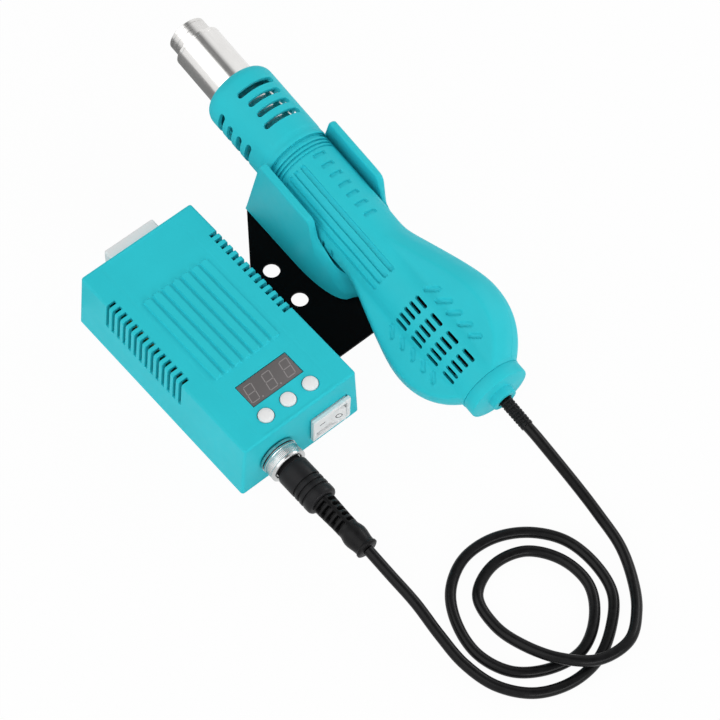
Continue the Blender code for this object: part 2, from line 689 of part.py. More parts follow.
def mains_rocker():
    bezel = block("rocker_frame",
                  (ROCKER_X - BEZEL_WIDTH / 2.0, BEZEL_FRONT, ROCKER_Z - BEZEL_HEIGHT / 2.0),
                  (ROCKER_X + BEZEL_WIDTH / 2.0, BEZEL_BACK, ROCKER_Z + BEZEL_HEIGHT / 2.0))
    body = block("switch_body",
                 (ROCKER_X - SWITCH_WIDTH / 2.0, BEZEL_BACK - 0.0005, ROCKER_Z - SWITCH_HEIGHT / 2.0),
                 (ROCKER_X + SWITCH_WIDTH / 2.0, BEZEL_BACK + SWITCH_DEPTH,
                  ROCKER_Z + SWITCH_HEIGHT / 2.0))
    swing = math.hypot(ROCKER_HALF_LENGTH, ROCKER_RISE) + FIT
    depth = SWITCH_DEPTH - CASE_WALL
    well = block("switch_well",
                 (ROCKER_X - swing, BEZEL_FRONT - 0.001, ROCKER_Z - ROCKER_HALF_HEIGHT - FIT),
                 (ROCKER_X + swing, BEZEL_BACK + depth, ROCKER_Z + ROCKER_HALF_HEIGHT + FIT))
    finish(cut(joined(bezel, body), well), WHITE, 0.35)
    length = ROCKER_HALF_LENGTH
    outline = [(-length, -ROCKER_RISE), (0.0, -ROCKER_DISH), (length, -ROCKER_RISE),
               (0.75 * length, ROCKER_SHOULDER), (0.0, ROCKER_BACK),
               (-0.75 * length, ROCKER_SHOULDER)]
    paddle = sheet_cut("rocker", outline, 2.0 * ROCKER_HALF_HEIGHT)
    paddle.location = ROCKER_PIVOT
    paddle.rotation_euler = (0.0, 0.0, math.radians(ROCKER_REST_DEG))
    finish(paddle, WHITE, 0.3)


def mains_inlet():
    rear = CASE_FACE + INLET_REACH
    front = rear - INLET_BODY_DEPTH
    half = (INLET_WIDTH / 2.0, INLET_HEIGHT / 2.0)
    body = block("inlet_socket", (INLET_X - half[0], front, INLET_Z - half[1]),
                 (INLET_X + half[0], rear, INLET_Z + half[1]), INLET_ROUND, segments=1)
    inside = (half[0] - INLET_WALL, half[1] - INLET_WALL)
    outline = [(-inside[0], -inside[1]), (inside[0], -inside[1]),
               (inside[0], inside[1] - INLET_CHAMFER), (inside[0] - INLET_CHAMFER, inside[1]),
               (INLET_CHAMFER - inside[0], inside[1]), (-inside[0], inside[1] - INLET_CHAMFER)]
    floor = front + INLET_FLOOR
    mouth = rear + 0.001
    turn = (Matrix.Translation((INLET_X, (floor + mouth) / 2.0, INLET_Z))
            @ Matrix.Rotation(math.radians(90.0), 4, 'X'))
    well = sheet_cut("inlet_well", outline, mouth - floor, turn)
    pins = {"earth": (0.0, PIN_RAISE), "live": (-PIN_SPREAD, -PIN_RAISE),
            "neutral": (PIN_SPREAD, -PIN_RAISE)}
    slots = []
    for label, (x, z) in pins.items():
        low = (INLET_X + x - PIN_THICKNESS / 2.0, front - 0.003, INLET_Z + z - PIN_WIDTH / 2.0)
        high = (INLET_X + x + PIN_THICKNESS / 2.0, floor + PIN_LENGTH, INLET_Z + z + PIN_WIDTH / 2.0)
        finish(block(f"inlet_pin_{label}", low, high), SILVER, 0.3, 1.0)
        slots.append(block("pin_slot", [v - FIT for v in low], [v + FIT for v in high]))
    finish(cut(body, well, group("pin_slots", slots)), WHITE, 0.4)


def panel_socket():
    """Round panel connector: threaded barrel with its flange, and the nut behind the wall."""
    centre = (SOCKET_X, SOCKET_Z)
    outside = -(CASE_FACE + FIT)
    front = outside - SOCKET_REACH
    back = outside + SOCKET_DEPTH
    barrel = turned("socket", [
        (SOCKET_RADIUS - SOCKET_LIP, front), (SOCKET_RADIUS, front),
        (SOCKET_RADIUS, outside - FLANGE_THICKNESS), (FLANGE_RADIUS, outside - FLANGE_THICKNESS),
        (FLANGE_RADIUS, outside), (SOCKET_RADIUS, outside), (SOCKET_RADIUS, back), (0.0, back),
        (0.0, front + SOCKET_WELL), (SOCKET_RADIUS - SOCKET_LIP, front + SOCKET_WELL)],
        centre=centre, closed=True)
    finish(barrel, SILVER, 0.3, 1.0)
    nut_front = -(HALF_LENGTH - CASE_WALL) + FIT
    nut_back = nut_front + NUT_THICKNESS
    nut = rod("socket_nut", NUT_RADIUS, nut_front, nut_back, centre, axis='Y', segments=6)
    nut = cut(nut, rod("nut_bore", SOCKET_RADIUS + FIT, nut_front - 0.001, nut_back + 0.001, centre,
                       axis='Y'))
    finish(nut, SILVER, 0.35, 1.0)
    ring_back = outside - FLANGE_THICKNESS - FIT
    ring_front = ring_back - RING_LENGTH
    bore = SOCKET_RADIUS + RING_CLEARANCE
    ring = turned("lock_ring", [
        (bore, ring_back), (RING_RADIUS - 0.0003, ring_back), (RING_RADIUS, ring_back - 0.0004),
        (RING_RADIUS, ring_front + 0.0008), (RING_RADIUS - 0.0008, ring_front), (bore, ring_front)],
        segments=32)
    ring.location = (SOCKET_X, 0.0, SOCKET_Z)
    finish(ring, SILVER, 0.3, 1.0)
    plug_front = ring_front - FIT
    plug_back = plug_front - PLUG_LENGTH
    spigot = front - FIT
    profile = [(0.0, spigot), (SOCKET_RADIUS - RING_CLEARANCE, spigot),
               (SOCKET_RADIUS - RING_CLEARANCE, plug_front), (PLUG_RADIUS - 0.0005, plug_front),
               (PLUG_RADIUS, plug_front - 0.0005)]
    for k in range(PLUG_GROOVES, 0, -1):
        groove = plug_back + PLUG_GROOVE_INSET + (k - 1) * PLUG_GROOVE_PITCH
        profile += [(PLUG_RADIUS, groove + PLUG_GROOVE_HALF),
                    (PLUG_RADIUS - PLUG_GROOVE_DEPTH, groove),
                    (PLUG_RADIUS, groove - PLUG_GROOVE_HALF)]
    profile += [(PLUG_RADIUS, plug_back + 0.0008), (PLUG_RADIUS - 0.0008, plug_back),
                (0.0, plug_back)]
    finish(turned("plug_body", profile, centre=centre, closed=False, segments=24), BLACK, 0.45)
    boot_front = plug_back - FIT
    boot_back = boot_front - BOOT_LENGTH
    bulge_back = boot_back - BULGE_LENGTH
    boot = turned("plug_boot", [
        (0.0, boot_front), (BOOT_START_RADIUS, boot_front), (BOOT_END_RADIUS, boot_back),
        (BULGE_RADIUS - 0.0006, boot_back), (BULGE_RADIUS, boot_back - 0.0008),
        (BULGE_RADIUS, bulge_back + 0.0020), (BULGE_RADIUS - 0.0015, bulge_back),
        (0.0, bulge_back)], centre=centre, closed=False)
    finish(boot, BLACK, 0.5)
    return bulge_back


def power_section():
    board_top = POWER_BOARD_BOTTOM + BOARD
    half = POWER_BOARD_WIDTH / 2.0
    finish(block("power_board", (-half, POWER_BOARD_FRONT, POWER_BOARD_BOTTOM),
                 (half, POWER_BOARD_REAR, board_top)), BOARD_GREEN, 0.5)
    seat = board_top + FIT
    rear = POWER_BOARD_REAR - REAR_MARGIN
    transformer_front = rear - TRANSFORMER_SIZE[1]
    capacitor_front = rear - 2.0 * CAPACITOR_RADIUS
    heatsink_y = POWER_BOARD_FRONT + HEATSINK_SHARE * (transformer_front - POWER_BOARD_FRONT)
    fuse_y = POWER_BOARD_FRONT + FUSE_SHARE * (capacitor_front - POWER_BOARD_FRONT)

    def standing(name, size, place_at, bevel=0.0):
        low = (place_at[0] - size[0] / 2.0, place_at[1] - size[1] / 2.0, seat)
        high = (place_at[0] + size[0] / 2.0, place_at[1] + size[1] / 2.0, seat + size[2])
        return block(name, low, high, bevel)

    finish(standing("transformer", TRANSFORMER_SIZE,
                    (TRANSFORMER_X, rear - TRANSFORMER_SIZE[1] / 2.0), TRANSFORMER_ROUND),
           (0.85, 0.62, 0.10), 0.5)
    finish(rod("capacitor", CAPACITOR_RADIUS, seat, seat + CAPACITOR_HEIGHT,
               (CAPACITOR_X, rear - CAPACITOR_RADIUS), segments=24), (0.02, 0.03, 0.10), 0.35)
    sink = standing("heatsink", HEATSINK_SIZE, (HEATSINK_X, heatsink_y))
    gap = (HEATSINK_SIZE[0] - HEATSINK_FINS * FIN_THICKNESS) / (HEATSINK_FINS - 1)
    left = HEATSINK_X - HEATSINK_SIZE[0] / 2.0
    back = heatsink_y - HEATSINK_SIZE[1] / 2.0 + HEATSINK_WEB
    slots = []
    for k in range(HEATSINK_FINS - 1):
        x = left + FIN_THICKNESS + k * (gap + FIN_THICKNESS)
        slots.append(block("fin_gap", (x, back, seat - 0.001),
                           (x + gap, back + HEATSINK_SIZE[1], seat + HEATSINK_SIZE[2] + 0.001)))
    finish(cut(sink, group("fin_gaps", slots)), SILVER, 0.4, 1.0)
    triac_y = heatsink_y - HEATSINK_SIZE[1] / 2.0 - FIT - TRIAC_SIZE[1] / 2.0
    finish(standing("triac", TRIAC_SIZE, (HEATSINK_X, triac_y)), BLACK, 0.4)
    finish(rod("fuse", FUSE_RADIUS, fuse_y - FUSE_LENGTH / 2.0, fuse_y + FUSE_LENGTH / 2.0,
               (FUSE_X, seat + FUSE_RADIUS), axis='Y', segments=20), SILVER, 0.2, 0.5)


HOLDER = empty("holder_frame", Matrix.Translation((AXIS_POINT[0], AXIS_POINT[1], 0.0))
               @ Matrix.Rotation(math.radians(-AXIS_YAW_DEG), 4, 'Z'))
HANDSET = empty("handset_frame", Matrix.Translation(AXIS_POINT)
                @ Matrix.Rotation(math.radians(-AXIS_YAW_DEG), 4, 'Z')
                @ Matrix.Rotation(math.radians(AXIS_TILT_DEG), 4, 'X')
                @ Matrix.Rotation(math.radians(-AXIS_ROLL_DEG), 4, 'Y'))


def bracket_plate():
    outline = [(BRACKET_LEFT, BRACKET_FRONT), (BRACKET_RIGHT, BRACKET_FRONT),
               (BRACKET_RIGHT, BRACKET_REAR), (BRACKET_CUT_X, BRACKET_REAR),
               (BRACKET_LEFT, BRACKET_CUT_Y)]
    plate = sheet_cut("bracket", outline, BRACKET_THICKNESS,
                      Matrix.Translation((0.0, 0.0, BRACKET_THICKNESS / 2.0)))
    holes = [rod("bench_hole", BRACKET_HOLE_RADIUS, -0.001, BRACKET_THICKNESS + 0.001,
                 (BRACKET_HOLE_X, y)) for y in BRACKET_HOLE_YS]
    for place_at in cradle_screw_places():
        holes.append(rod("countersink", SCREW_HEAD_RADIUS + FIT, -0.0001, BRACKET_THICKNESS + 0.0001,
                         place_at, end_radius=SCREW_RADIUS + FIT, segments=20))
    finish(cut(plate, group("bracket_holes", holes)), BLACK, 0.55, 0.2)


def cradle_screw_places():
    """World x and y of the two screws on the cradle's middle line."""
    frame = HOLDER.matrix_world
    places = []
    for s in (-CRADLE_SCREW_SPACING / 2.0, CRADLE_SCREW_SPACING / 2.0):
        point = frame @ Vector((0.0, s, 0.0))
        places.append((point.x, point.y))
    return places


def axis_height(s):
    """Height of the handset's axis above the bench, s along the cradle."""
    return AXIS_POINT[2] + s * math.tan(math.radians(AXIS_TILT_DEG))


def cradle_body():
    half = CRADLE_HALF_WIDTH
    nose = CRADLE_NOSE_HALF_WIDTH
    taper_start = CRADLE_FRONT + CRADLE_SWEEP
    right = [(half, CRADLE_REAR), (half, taper_start)]
    steps = 6
    for k in range(1, steps + 1):
        t = math.radians(90.0 * k / steps)
        right.append((nose + (half - nose) * math.cos(t) ** 0.8,
                      taper_start + (CRADLE_FRONT + 0.001 - taper_start) * math.sin(t)))
    right.append((nose * 0.45, CRADLE_FRONT))
    outline = right + [(-x, y) for x, y in reversed(right)]
    bottom = BRACKET_THICKNESS + FIT
    top = axis_height(CRADLE_RIM_REAR) + CRADLE_RIM_ABOVE_AXIS
    plan = sheet_cut("cradle", outline, top + 0.01,
                     Matrix.Translation((0.0, 0.0, bottom + (top + 0.01) / 2.0)), HOLDER)
    rim_front = axis_height(CRADLE_RIM_FRONT) + CRADLE_RIM_ABOVE_AXIS
    shoulder = CRADLE_SHOULDER_HEIGHT
    side = [(CRADLE_REAR + 0.001, bottom - 0.001), (CRADLE_REAR, bottom),
            (CRADLE_RIM_REAR, top), (CRADLE_RIM_FRONT, rim_front),
            (CRADLE_RIM_FRONT - 0.0022, rim_front - 0.0035),
            (CRADLE_RIM_FRONT - 0.0036, (rim_front + shoulder) / 2.0),
            (CRADLE_RIM_FRONT - 0.0060, shoulder + 0.0005), (CRADLE_FRONT + 0.0125, shoulder - 0.002),
            (CRADLE_FRONT + 0.0080, shoulder - 0.008), (CRADLE_FRONT + 0.0035, shoulder - 0.017),
            (CRADLE_FRONT - 0.001, CRADLE_NOSE_HEIGHT), (CRADLE_FRONT - 0.001, bottom - 0.001)]
    turn = (Matrix.Rotation(math.radians(90.0), 4, 'Z') @ Matrix.Rotation(math.radians(90.0), 4, 'X'))
    profile = sheet_cut("cradle_side", side, 4.0 * half, turn, HOLDER)
    body = shared(plan, profile)
    radius = GUARD_RADIUS + TROUGH_CLEARANCE
    tilt = (Matrix.Translation((0.0, 0.0, AXIS_POINT[2]))
            @ Matrix.Rotation(math.radians(AXIS_TILT_DEG), 4, 'X'))
    trough = rod("trough", radius, -0.070, 0.060, axis='Y', segments=40, parent=HOLDER)
    trough.data.transform(tilt)
    mouth = block("trough_mouth", (-radius, -0.070, 0.0), (radius, 0.060, 0.040), parent=HOLDER)
    mouth.data.transform(tilt)
    pocket = rod("magnet_pocket", MAGNET_RADIUS + FIT, bottom - 0.001, bottom + MAGNET_HEIGHT + 2.0 * FIT,
                 (0.0, 0.0), parent=HOLDER, segments=20)
    pilots = [rod("pilot", SCREW_RADIUS + FIT, bottom - 0.001, SCREW_LENGTH + 0.0005,
                  (0.0, s), parent=HOLDER, segments=12)
              for s in (-CRADLE_SCREW_SPACING / 2.0, CRADLE_SCREW_SPACING / 2.0)]
    body = cut(body, trough, mouth, pocket, *pilots)
    finish(body, TEAL, 0.38)
    magnet = rod("cradle_magnet", MAGNET_RADIUS, bottom + FIT, bottom + FIT + MAGNET_HEIGHT,
                 (0.0, 0.0), parent=HOLDER, segments=20)
    finish(magnet, SILVER, 0.3, 1.0)
    for i, place_at in enumerate(cradle_screw_places(), 1):
        screw = turned(f"cradle_screw_{i}", [
            (0.0, SCREW_LENGTH), (SCREW_RADIUS, SCREW_LENGTH), (SCREW_RADIUS, BRACKET_THICKNESS),
            (SCREW_HEAD_RADIUS - 0.0001, 0.0001), (0.0, 0.0001)], axis='Z', centre=place_at,
            closed=False, segments=16)
        finish(screw, SILVER, 0.35, 1.0)


def eased(s, stations):
    """Cosine-eased value between (s, value) stations given from front to rear."""
    if s >= stations[0][0]:
        return stations[0][1]
    for (s0, v0), (s1, v1) in zip(stations, stations[1:]):
        if s >= s1:
            t = (s0 - s) / (s0 - s1)
            return v0 + (v1 - v0) * (0.5 - 0.5 * math.cos(math.pi * t))
    return stations[-1][1]


def half_width(s):
    """Half-width of the flat fan housing at s: straight flanks in front, a round end behind."""
    d = s - FAN_S
    if d >= 0.0:
        return FAN_HALF_WIDTH - FLANK_SLOPE * (math.hypot(d, FLANK_START) - FLANK_START)
    return FAN_HALF_WIDTH * max(0.02, 1.0 - (-d / FAN_REAR_REACH) ** 2.2) ** 0.6


def ridge_radius(s):
    """Radius of the round ridge that runs from the grip through the housing to the tail."""
    return eased(s, [(-0.020, GRIP_RADIUS), (-0.040, GRIP_RADIUS - 0.0004),
                     (-0.085, GRIP_RADIUS - 0.0002), (SHELL_REAR, TAIL_RADIUS + 0.0002)])


def section(s, inset, count=32):
    """Closed outline of the handle at s: the round ridge merged with the flat housing."""
    points = []
    wide = half_width(s) - inset
    top = FAN_TOP - inset
    bottom = FAN_BOTTOM - inset
    ridge = ridge_radius(s) - inset
    squeeze = 1.0 - 0.45 * max(0.0, half_width(s) / FAN_HALF_WIDTH - 0.3) / 0.7
    for k in range(count):
        turn = 2.0 * math.pi * (k + 0.5) / count
        angle = math.atan2(squeeze * math.sin(turn), math.cos(turn))
        cu = math.cos(angle)
        cw = math.sin(angle)
        height = top if cw > 0.0 else bottom
        power = 5.0
        flat = (abs(cu / wide) ** power + abs(cw / height) ** power) ** (-1.0 / power)
        lean = 1.0 - 0.10 * max(0.0, cw) * abs(cu)
        flat *= lean
        blend = 24.0
        radius = (flat ** blend + ridge ** blend) ** (1.0 / blend)
        points.append((radius * cu, radius * cw))
    return points


def lofted(name, rings, parent):
    """A closed solid through rings of (s, outline), all with the same number of points."""
    def build(bm):
        rows = []
        for s, outline in rings:
            rows.append([bm.verts.new((u, s, w)) for u, w in outline])
        count = len(rows[0])
        for before, after in zip(rows, rows[1:]):
            for k in range(count):
                m = (k + 1) % count
                bm.faces.new((before[k], before[m], after[m], after[k]))
        bm.faces.new(rows[0])
        bm.faces.new(rows[-1])
    return place(name, mesh_from(name, build), parent)


def round_ring(radius, count=32):
    return [(radius * math.cos(2.0 * math.pi * (k + 0.5) / count),
             radius * math.sin(2.0 * math.pi * (k + 0.5) / count)) for k in range(count)]


def handle_shells():
    stations = [SHELL_FRONT, 0.0, -0.020, -0.032, -0.042, -0.052, -0.062, -0.072, -0.080, -0.088,
                -0.096, -0.102, -0.107, -0.1115, -0.115, SHELL_REAR]
    rings = [(COLLAR_FRONT, round_ring(COLLAR_RADIUS)), (SHELL_FRONT, round_ring(COLLAR_RADIUS))]
    rings += [(s, section(s, 0.0)) for s in stations]
    solid = lofted("handle", rings, HANDSET)
    bore = COLLAR_RADIUS - COLLAR_WALL
    flange_back = HEATER_FLANGE_S - FIT
    few = 24
    hollow = [(COLLAR_FRONT + 0.001, round_ring(bore, few)), (flange_back, round_ring(bore, few)),
              (flange_back, round_ring(bore - 0.0010, few)), (0.0175, round_ring(bore - 0.0010, few)),
              (0.0155, round_ring(GRIP_RADIUS - SHELL_WALL, few))]
    hollow += [(s, section(s, SHELL_WALL, few)) for s in stations[2:-3]]
    hollow += [(-0.1125, round_ring(TAIL_BORE, few)), (SHELL_REAR - 0.001, round_ring(TAIL_BORE, few))]
    inner = lofted("handle_hollow", hollow, HANDSET)
    posts = [rod("handle_post", HANDLE_POST_RADIUS, -0.020, 0.020, place_at, parent=HANDSET,
                 segments=16) for place_at in HANDLE_SCREW_PLACES]
    inner = cut(inner, group("handle_posts", posts, HANDSET))
    shell = cut(solid, inner)
    far = 0.150
    low_box = block("low_half", (-far, -far, -far), (far, far, -FIT / 2.0), parent=HANDSET)
    high_box = block("high_half", (-far, -far, FIT / 2.0), (far, far, far), parent=HANDSET)
    upper = place("handle_upper", shell.data.copy(), HANDSET)
    upper = shared(upper, high_box)
    lower = shared(shell, low_box)
    lower.name = "handle_lower"
    slots = []
    for row in range(GRILLE_ROWS):
        s = GRILLE_FIRST_S - row * GRILLE_ROW_PITCH
        for column in range(GRILLE_COLUMNS):
            u = (column - (GRILLE_COLUMNS - 1) / 2.0) * GRILLE_COLUMN_PITCH
            slots.append(block("grille_slot",
                               (u - GRILLE_SLOT_WIDTH / 2.0, s - GRILLE_SLOT_LENGTH / 2.0, 0.009),
                               (u + GRILLE_SLOT_WIDTH / 2.0, s + GRILLE_SLOT_LENGTH / 2.0, 0.022)))
    pilots = [rod("handle_pilot", SCREW_RADIUS + FIT, -0.001, HANDLE_SCREW_TIP + FIT, place_at,
                  segments=12) for place_at in HANDLE_SCREW_PLACES]
    finish(cut(upper, group("grille_slots", slots + pilots, HANDSET)), TEAL, 0.38)
    shafts = [rod("handle_shaft", SCREW_RADIUS + FIT, -0.010, 0.001, place_at, segments=12)
              for place_at in HANDLE_SCREW_PLACES]
    heads = [rod("handle_recess", SCREW_HEAD_RADIUS + FIT, -0.020, HANDLE_SCREW_HEAD_TOP + FIT,
                 place_at, segments=16) for place_at in HANDLE_SCREW_PLACES]
    lower = cut(lower, group("handle_shafts", shafts, HANDSET), group("handle_heads", heads, HANDSET))
    finish(lower, TEAL, 0.38, name="handle_lower")
    for i, place_at in enumerate(HANDLE_SCREW_PLACES, 1):
        head_low = HANDLE_SCREW_HEAD_TOP - SCREW_HEAD_HEIGHT
        screw = turned(f"handle_screw_{i}", [
            (0.0, HANDLE_SCREW_TIP), (SCREW_RADIUS, HANDLE_SCREW_TIP),
            (SCREW_RADIUS, HANDLE_SCREW_HEAD_TOP), (SCREW_HEAD_RADIUS, HANDLE_SCREW_HEAD_TOP),
            (SCREW_HEAD_RADIUS, head_low), (0.0, head_low)], axis='Z', centre=place_at,
            closed=False, parent=HANDSET, segments=16)
        finish(screw, SILVER, 0.35, 1.0)


def guard():
    r = GUARD_RADIUS
    inner = r - GUARD_WALL
    bore = TUBE_RADIUS + TUBE_CLEARANCE
    profile = [(inner, GUARD_REAR), (r - 0.0003, GUARD_REAR), (r, GUARD_REAR + 0.0006)]
    depth = r - bore - 0.0004
    for k in range(4):
        t = math.radians(30.0 * k)
        profile.append((r - depth * (1.0 - math.cos(t)),
                        GUARD_SHOULDER + (GUARD_FRONT - GUARD_SHOULDER) * math.sin(t)))
    profile += [(bore, GUARD_FRONT), (bore, GUARD_FRONT - GUARD_WALL),
                (inner, GUARD_SHOULDER - 0.0005)]
    body = turned("nozzle_guard", profile, parent=HANDSET, segments=40)
    slots = []
    for row in range(GUARD_SLOT_ROWS):
        s = GUARD_FIRST_SLOT + row * GUARD_SLOT_PITCH
        outer_row = row in (0, GUARD_SLOT_ROWS - 1)
        reach = GUARD_SLOT_LONG_DEG if outer_row else GUARD_SLOT_SHORT_DEG
        for centre in GUARD_SLOT_CENTRES_DEG:
            slots.append(ring_sector(centre + AXIS_ROLL_DEG, reach, inner - 0.0018, r + 0.002, s))
    finish(cut(body, group("guard_slots", slots, HANDSET)), TEAL, 0.38)


def ring_sector(centre_deg, reach_deg, inner, outer, s):
    """A slice of a ring around the handset's axis, centred centre_deg clockwise from the top."""
    steps = 5
    angles = [math.radians(90.0 - centre_deg + reach_deg * (2.0 * k / steps - 1.0))
              for k in range(steps + 1)]
    outline = [(outer * math.cos(a), outer * math.sin(a)) for a in angles]
    outline += [(inner * math.cos(a), inner * math.sin(a)) for a in reversed(angles)]
    turn = Matrix.Translation((0.0, s, 0.0)) @ Matrix.Rotation(math.radians(90.0), 4, 'X')
    return sheet_cut("slot", outline, GUARD_SLOT_WIDTH, turn)


def heater():
    rear = HEATER_FLANGE_S + HEATER_FLANGE_THICKNESS + FIT
    flange = rod("heater_flange", COLLAR_RADIUS - COLLAR_WALL - FIT, HEATER_FLANGE_S,
                 HEATER_FLANGE_S + HEATER_FLANGE_THICKNESS, axis='Y', parent=HANDSET)
    ports = []
    for k in range(HEATER_PORTS):
        a = 2.0 * math.pi * (k + 0.5) / HEATER_PORTS
        ports.append(rod("port", HEATER_PORT_RADIUS, HEATER_FLANGE_S - 0.001, rear + 0.001,
                         (HEATER_PORT_CIRCLE * math.cos(a), HEATER_PORT_CIRCLE * math.sin(a)),
                         axis='Y', segments=10))
    finish(cut(flange, group("ports", ports, HANDSET)), STEEL, 0.4, 1.0)
    r = TUBE_RADIUS
    finish(turned("outer_tube", [(r - TUBE_WALL, rear), (r, rear), (r, TUBE_FRONT - 0.0003),
                                 (r - 0.0003, TUBE_FRONT), (r - TUBE_WALL, TUBE_FRONT)],
                  parent=HANDSET, segments=40), STEEL, 0.3, 1.0)
    r = SLEEVE_RADIUS
    finish(turned("inner_sleeve", [(r - SLEEVE_WALL, rear), (r, rear), (r, SLEEVE_FRONT - 0.0003),
                                   (r - 0.0003, SLEEVE_FRONT), (r - SLEEVE_WALL, SLEEVE_FRONT)],
                  parent=HANDSET, segments=32), STEEL, 0.3, 1.0)
    arm = CORE_FIN / 2.0
    tip = CORE_RADIUS
    outline = []
    for quarter in range(4):
        turn = Matrix.Rotation(math.radians(90.0 * quarter), 2)
        for point in ((tip, -arm), (tip, arm), (arm, arm)):
            outline.append(tuple(turn @ Vector(point)))
    turn = (Matrix.Translation((0.0, (rear + CORE_FRONT) / 2.0, 0.0))
            @ Matrix.Rotation(math.radians(90.0), 4, 'X'))
    finish(sheet_cut("heater_core", outline, CORE_FRONT - rear, turn, HANDSET), CERAMIC, 0.7)
    start = (rear + CORE_FRONT - COIL_TURNS * COIL_PITCH) / 2.0
    per_turn = 8
    helix = []
    for k in range(COIL_TURNS * per_turn + 1):
        a = 2.0 * math.pi * k / per_turn
        helix.append((COIL_RADIUS * math.cos(a), start + COIL_PITCH * k / per_turn,
                      COIL_RADIUS * math.sin(a)))
    finish(wire("heater_coil", helix, COIL_WIRE, 0, HANDSET), (0.35, 0.22, 0.16), 0.5, 0.8)
    finish(rod("thermocouple", THERMOCOUPLE_RADIUS, rear, THERMOCOUPLE_FRONT,
               (THERMOCOUPLE_OFFSET, 0.0), axis='Y', parent=HANDSET, segments=12), STEEL, 0.4, 1.0)


def blower():
    """Centrifugal blower under the grille: scroll wall, motor and impeller on the w axis."""
    floor = SCROLL_FLOOR
    ring = turned("blower_scroll", [
        (SCROLL_RADIUS - SCROLL_WALL, floor), (SCROLL_RADIUS, floor), (SCROLL_RADIUS, SCROLL_TOP),
        (SCROLL_RADIUS - SCROLL_WALL, SCROLL_TOP)], axis='Z', parent=HANDSET, segments=40)
    ring.data.transform(Matrix.Translation((0.0, FAN_S, 0.0)))
    mouth = block("scroll_mouth", (-SCROLL_MOUTH / 2.0, FAN_S + SCROLL_MOUTH_START, floor - 0.001),
                  (SCROLL_MOUTH / 2.0, FAN_S + SCROLL_RADIUS + 0.001, SCROLL_TOP + 0.001),
                  parent=HANDSET)
    finish(cut(ring, mouth), BLACK, 0.5)
    finish(rod("blower_motor", MOTOR_RADIUS, MOTOR_FLOOR, MOTOR_TOP, (0.0, FAN_S), parent=HANDSET),
           SILVER, 0.35, 1.0)
    low = MOTOR_TOP + FIT
    hub = rod("fan_rotor", ROTOR_HUB_RADIUS, low, low + ROTOR_HEIGHT, parent=HANDSET, segments=24)
    disc = rod("rotor_disc", ROTOR_RADIUS, low, low + ROTOR_DISC, parent=HANDSET)
    blades = []
    for k in range(ROTOR_BLADES):
        blade = block("blade", (ROTOR_HUB_RADIUS - 0.001, -BLADE_THICKNESS / 2.0, low + 0.0005),
                      (ROTOR_RADIUS - 0.0003, BLADE_THICKNESS / 2.0, low + ROTOR_HEIGHT - 0.0006))
        blade.data.transform(Matrix.Rotation(2.0 * math.pi * k / ROTOR_BLADES, 4, 'Z'))
        blades.append(blade)
    rotor = joined(hub, disc, group("blades", blades, HANDSET))
    rotor.location = (0.0, FAN_S, 0.0)
    finish(rotor, BLACK, 0.45)


def tail():
    spigot = SHELL_REAR + TAIL_SPIGOT
    rim = SHELL_REAR - FIT
    bore = RELIEF_START_RADIUS + FIT
    boss_rear = TAIL_DISC_REAR - BOSS_LENGTH
    r = TAIL_RADIUS
    cap = turned("tail_cap", [
        (bore, spigot), (TAIL_BORE - FIT, spigot), (TAIL_BORE - FIT, rim), (r, rim),
        (r, TAIL_DISC_REAR + 0.0006), (r - 0.0006, TAIL_DISC_REAR), (BOSS_RADIUS, TAIL_DISC_REAR),
        (BOSS_RADIUS - 0.0003, boss_rear), (bore, boss_rear)], parent=HANDSET)
    finish(cap, TEAL, 0.38)
    finish(rod("strain_relief", RELIEF_END_RADIUS, RELIEF_END, spigot, axis='Y',
               end_radius=RELIEF_START_RADIUS, parent=HANDSET, segments=20), BLACK, 0.55)
    finish(rod("reed_switch", REED_RADIUS, REED_S - REED_LENGTH / 2.0,
               REED_S + REED_LENGTH / 2.0, (0.0, -REED_DROP), axis='Y', parent=HANDSET,
               segments=12), SMOKE, 0.2)


def cable(plug_end):
    """The cord lies on the bench between the handset's strain relief and the plug."""
    relief_end = HANDSET.matrix_world @ Vector((0.0, RELIEF_END - FIT, 0.0))
    leaving = HANDSET.matrix_world @ Vector((0.0, RELIEF_END - 0.0085, 0.0))
    route = [tuple(relief_end), tuple(leaving)]
    route += list(CORD_POINTS[2:-1])
    route.append((SOCKET_X, plug_end - FIT, SOCKET_Z))
    finish(wire("cord", smooth_route(route, CORD_STEP), CORD_RADIUS), BLACK, 0.5)


def main():
    bpy.context.view_layer.update()
    case_cover()
    case_base()
    control_panel()
    mains_rocker()
    mains_inlet()
    plug_end = panel_socket()
    power_section()
    bracket_plate()
    cradle_body()
    handle_shells()
    guard()
    heater()
    blower()
    tail()
    cable(plug_end)


main()
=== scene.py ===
"""The looks of a hot-air rework station: controller, handset in its cradle, and their cable.

Sizes inside the shape functions are millimetres; a mesh is written in metres.
"""

import math

import bmesh
import bpy
import numpy as np
from bpy.props import FloatProperty, FloatVectorProperty, IntProperty, PointerProperty
from mathutils import Euler, Matrix, Vector


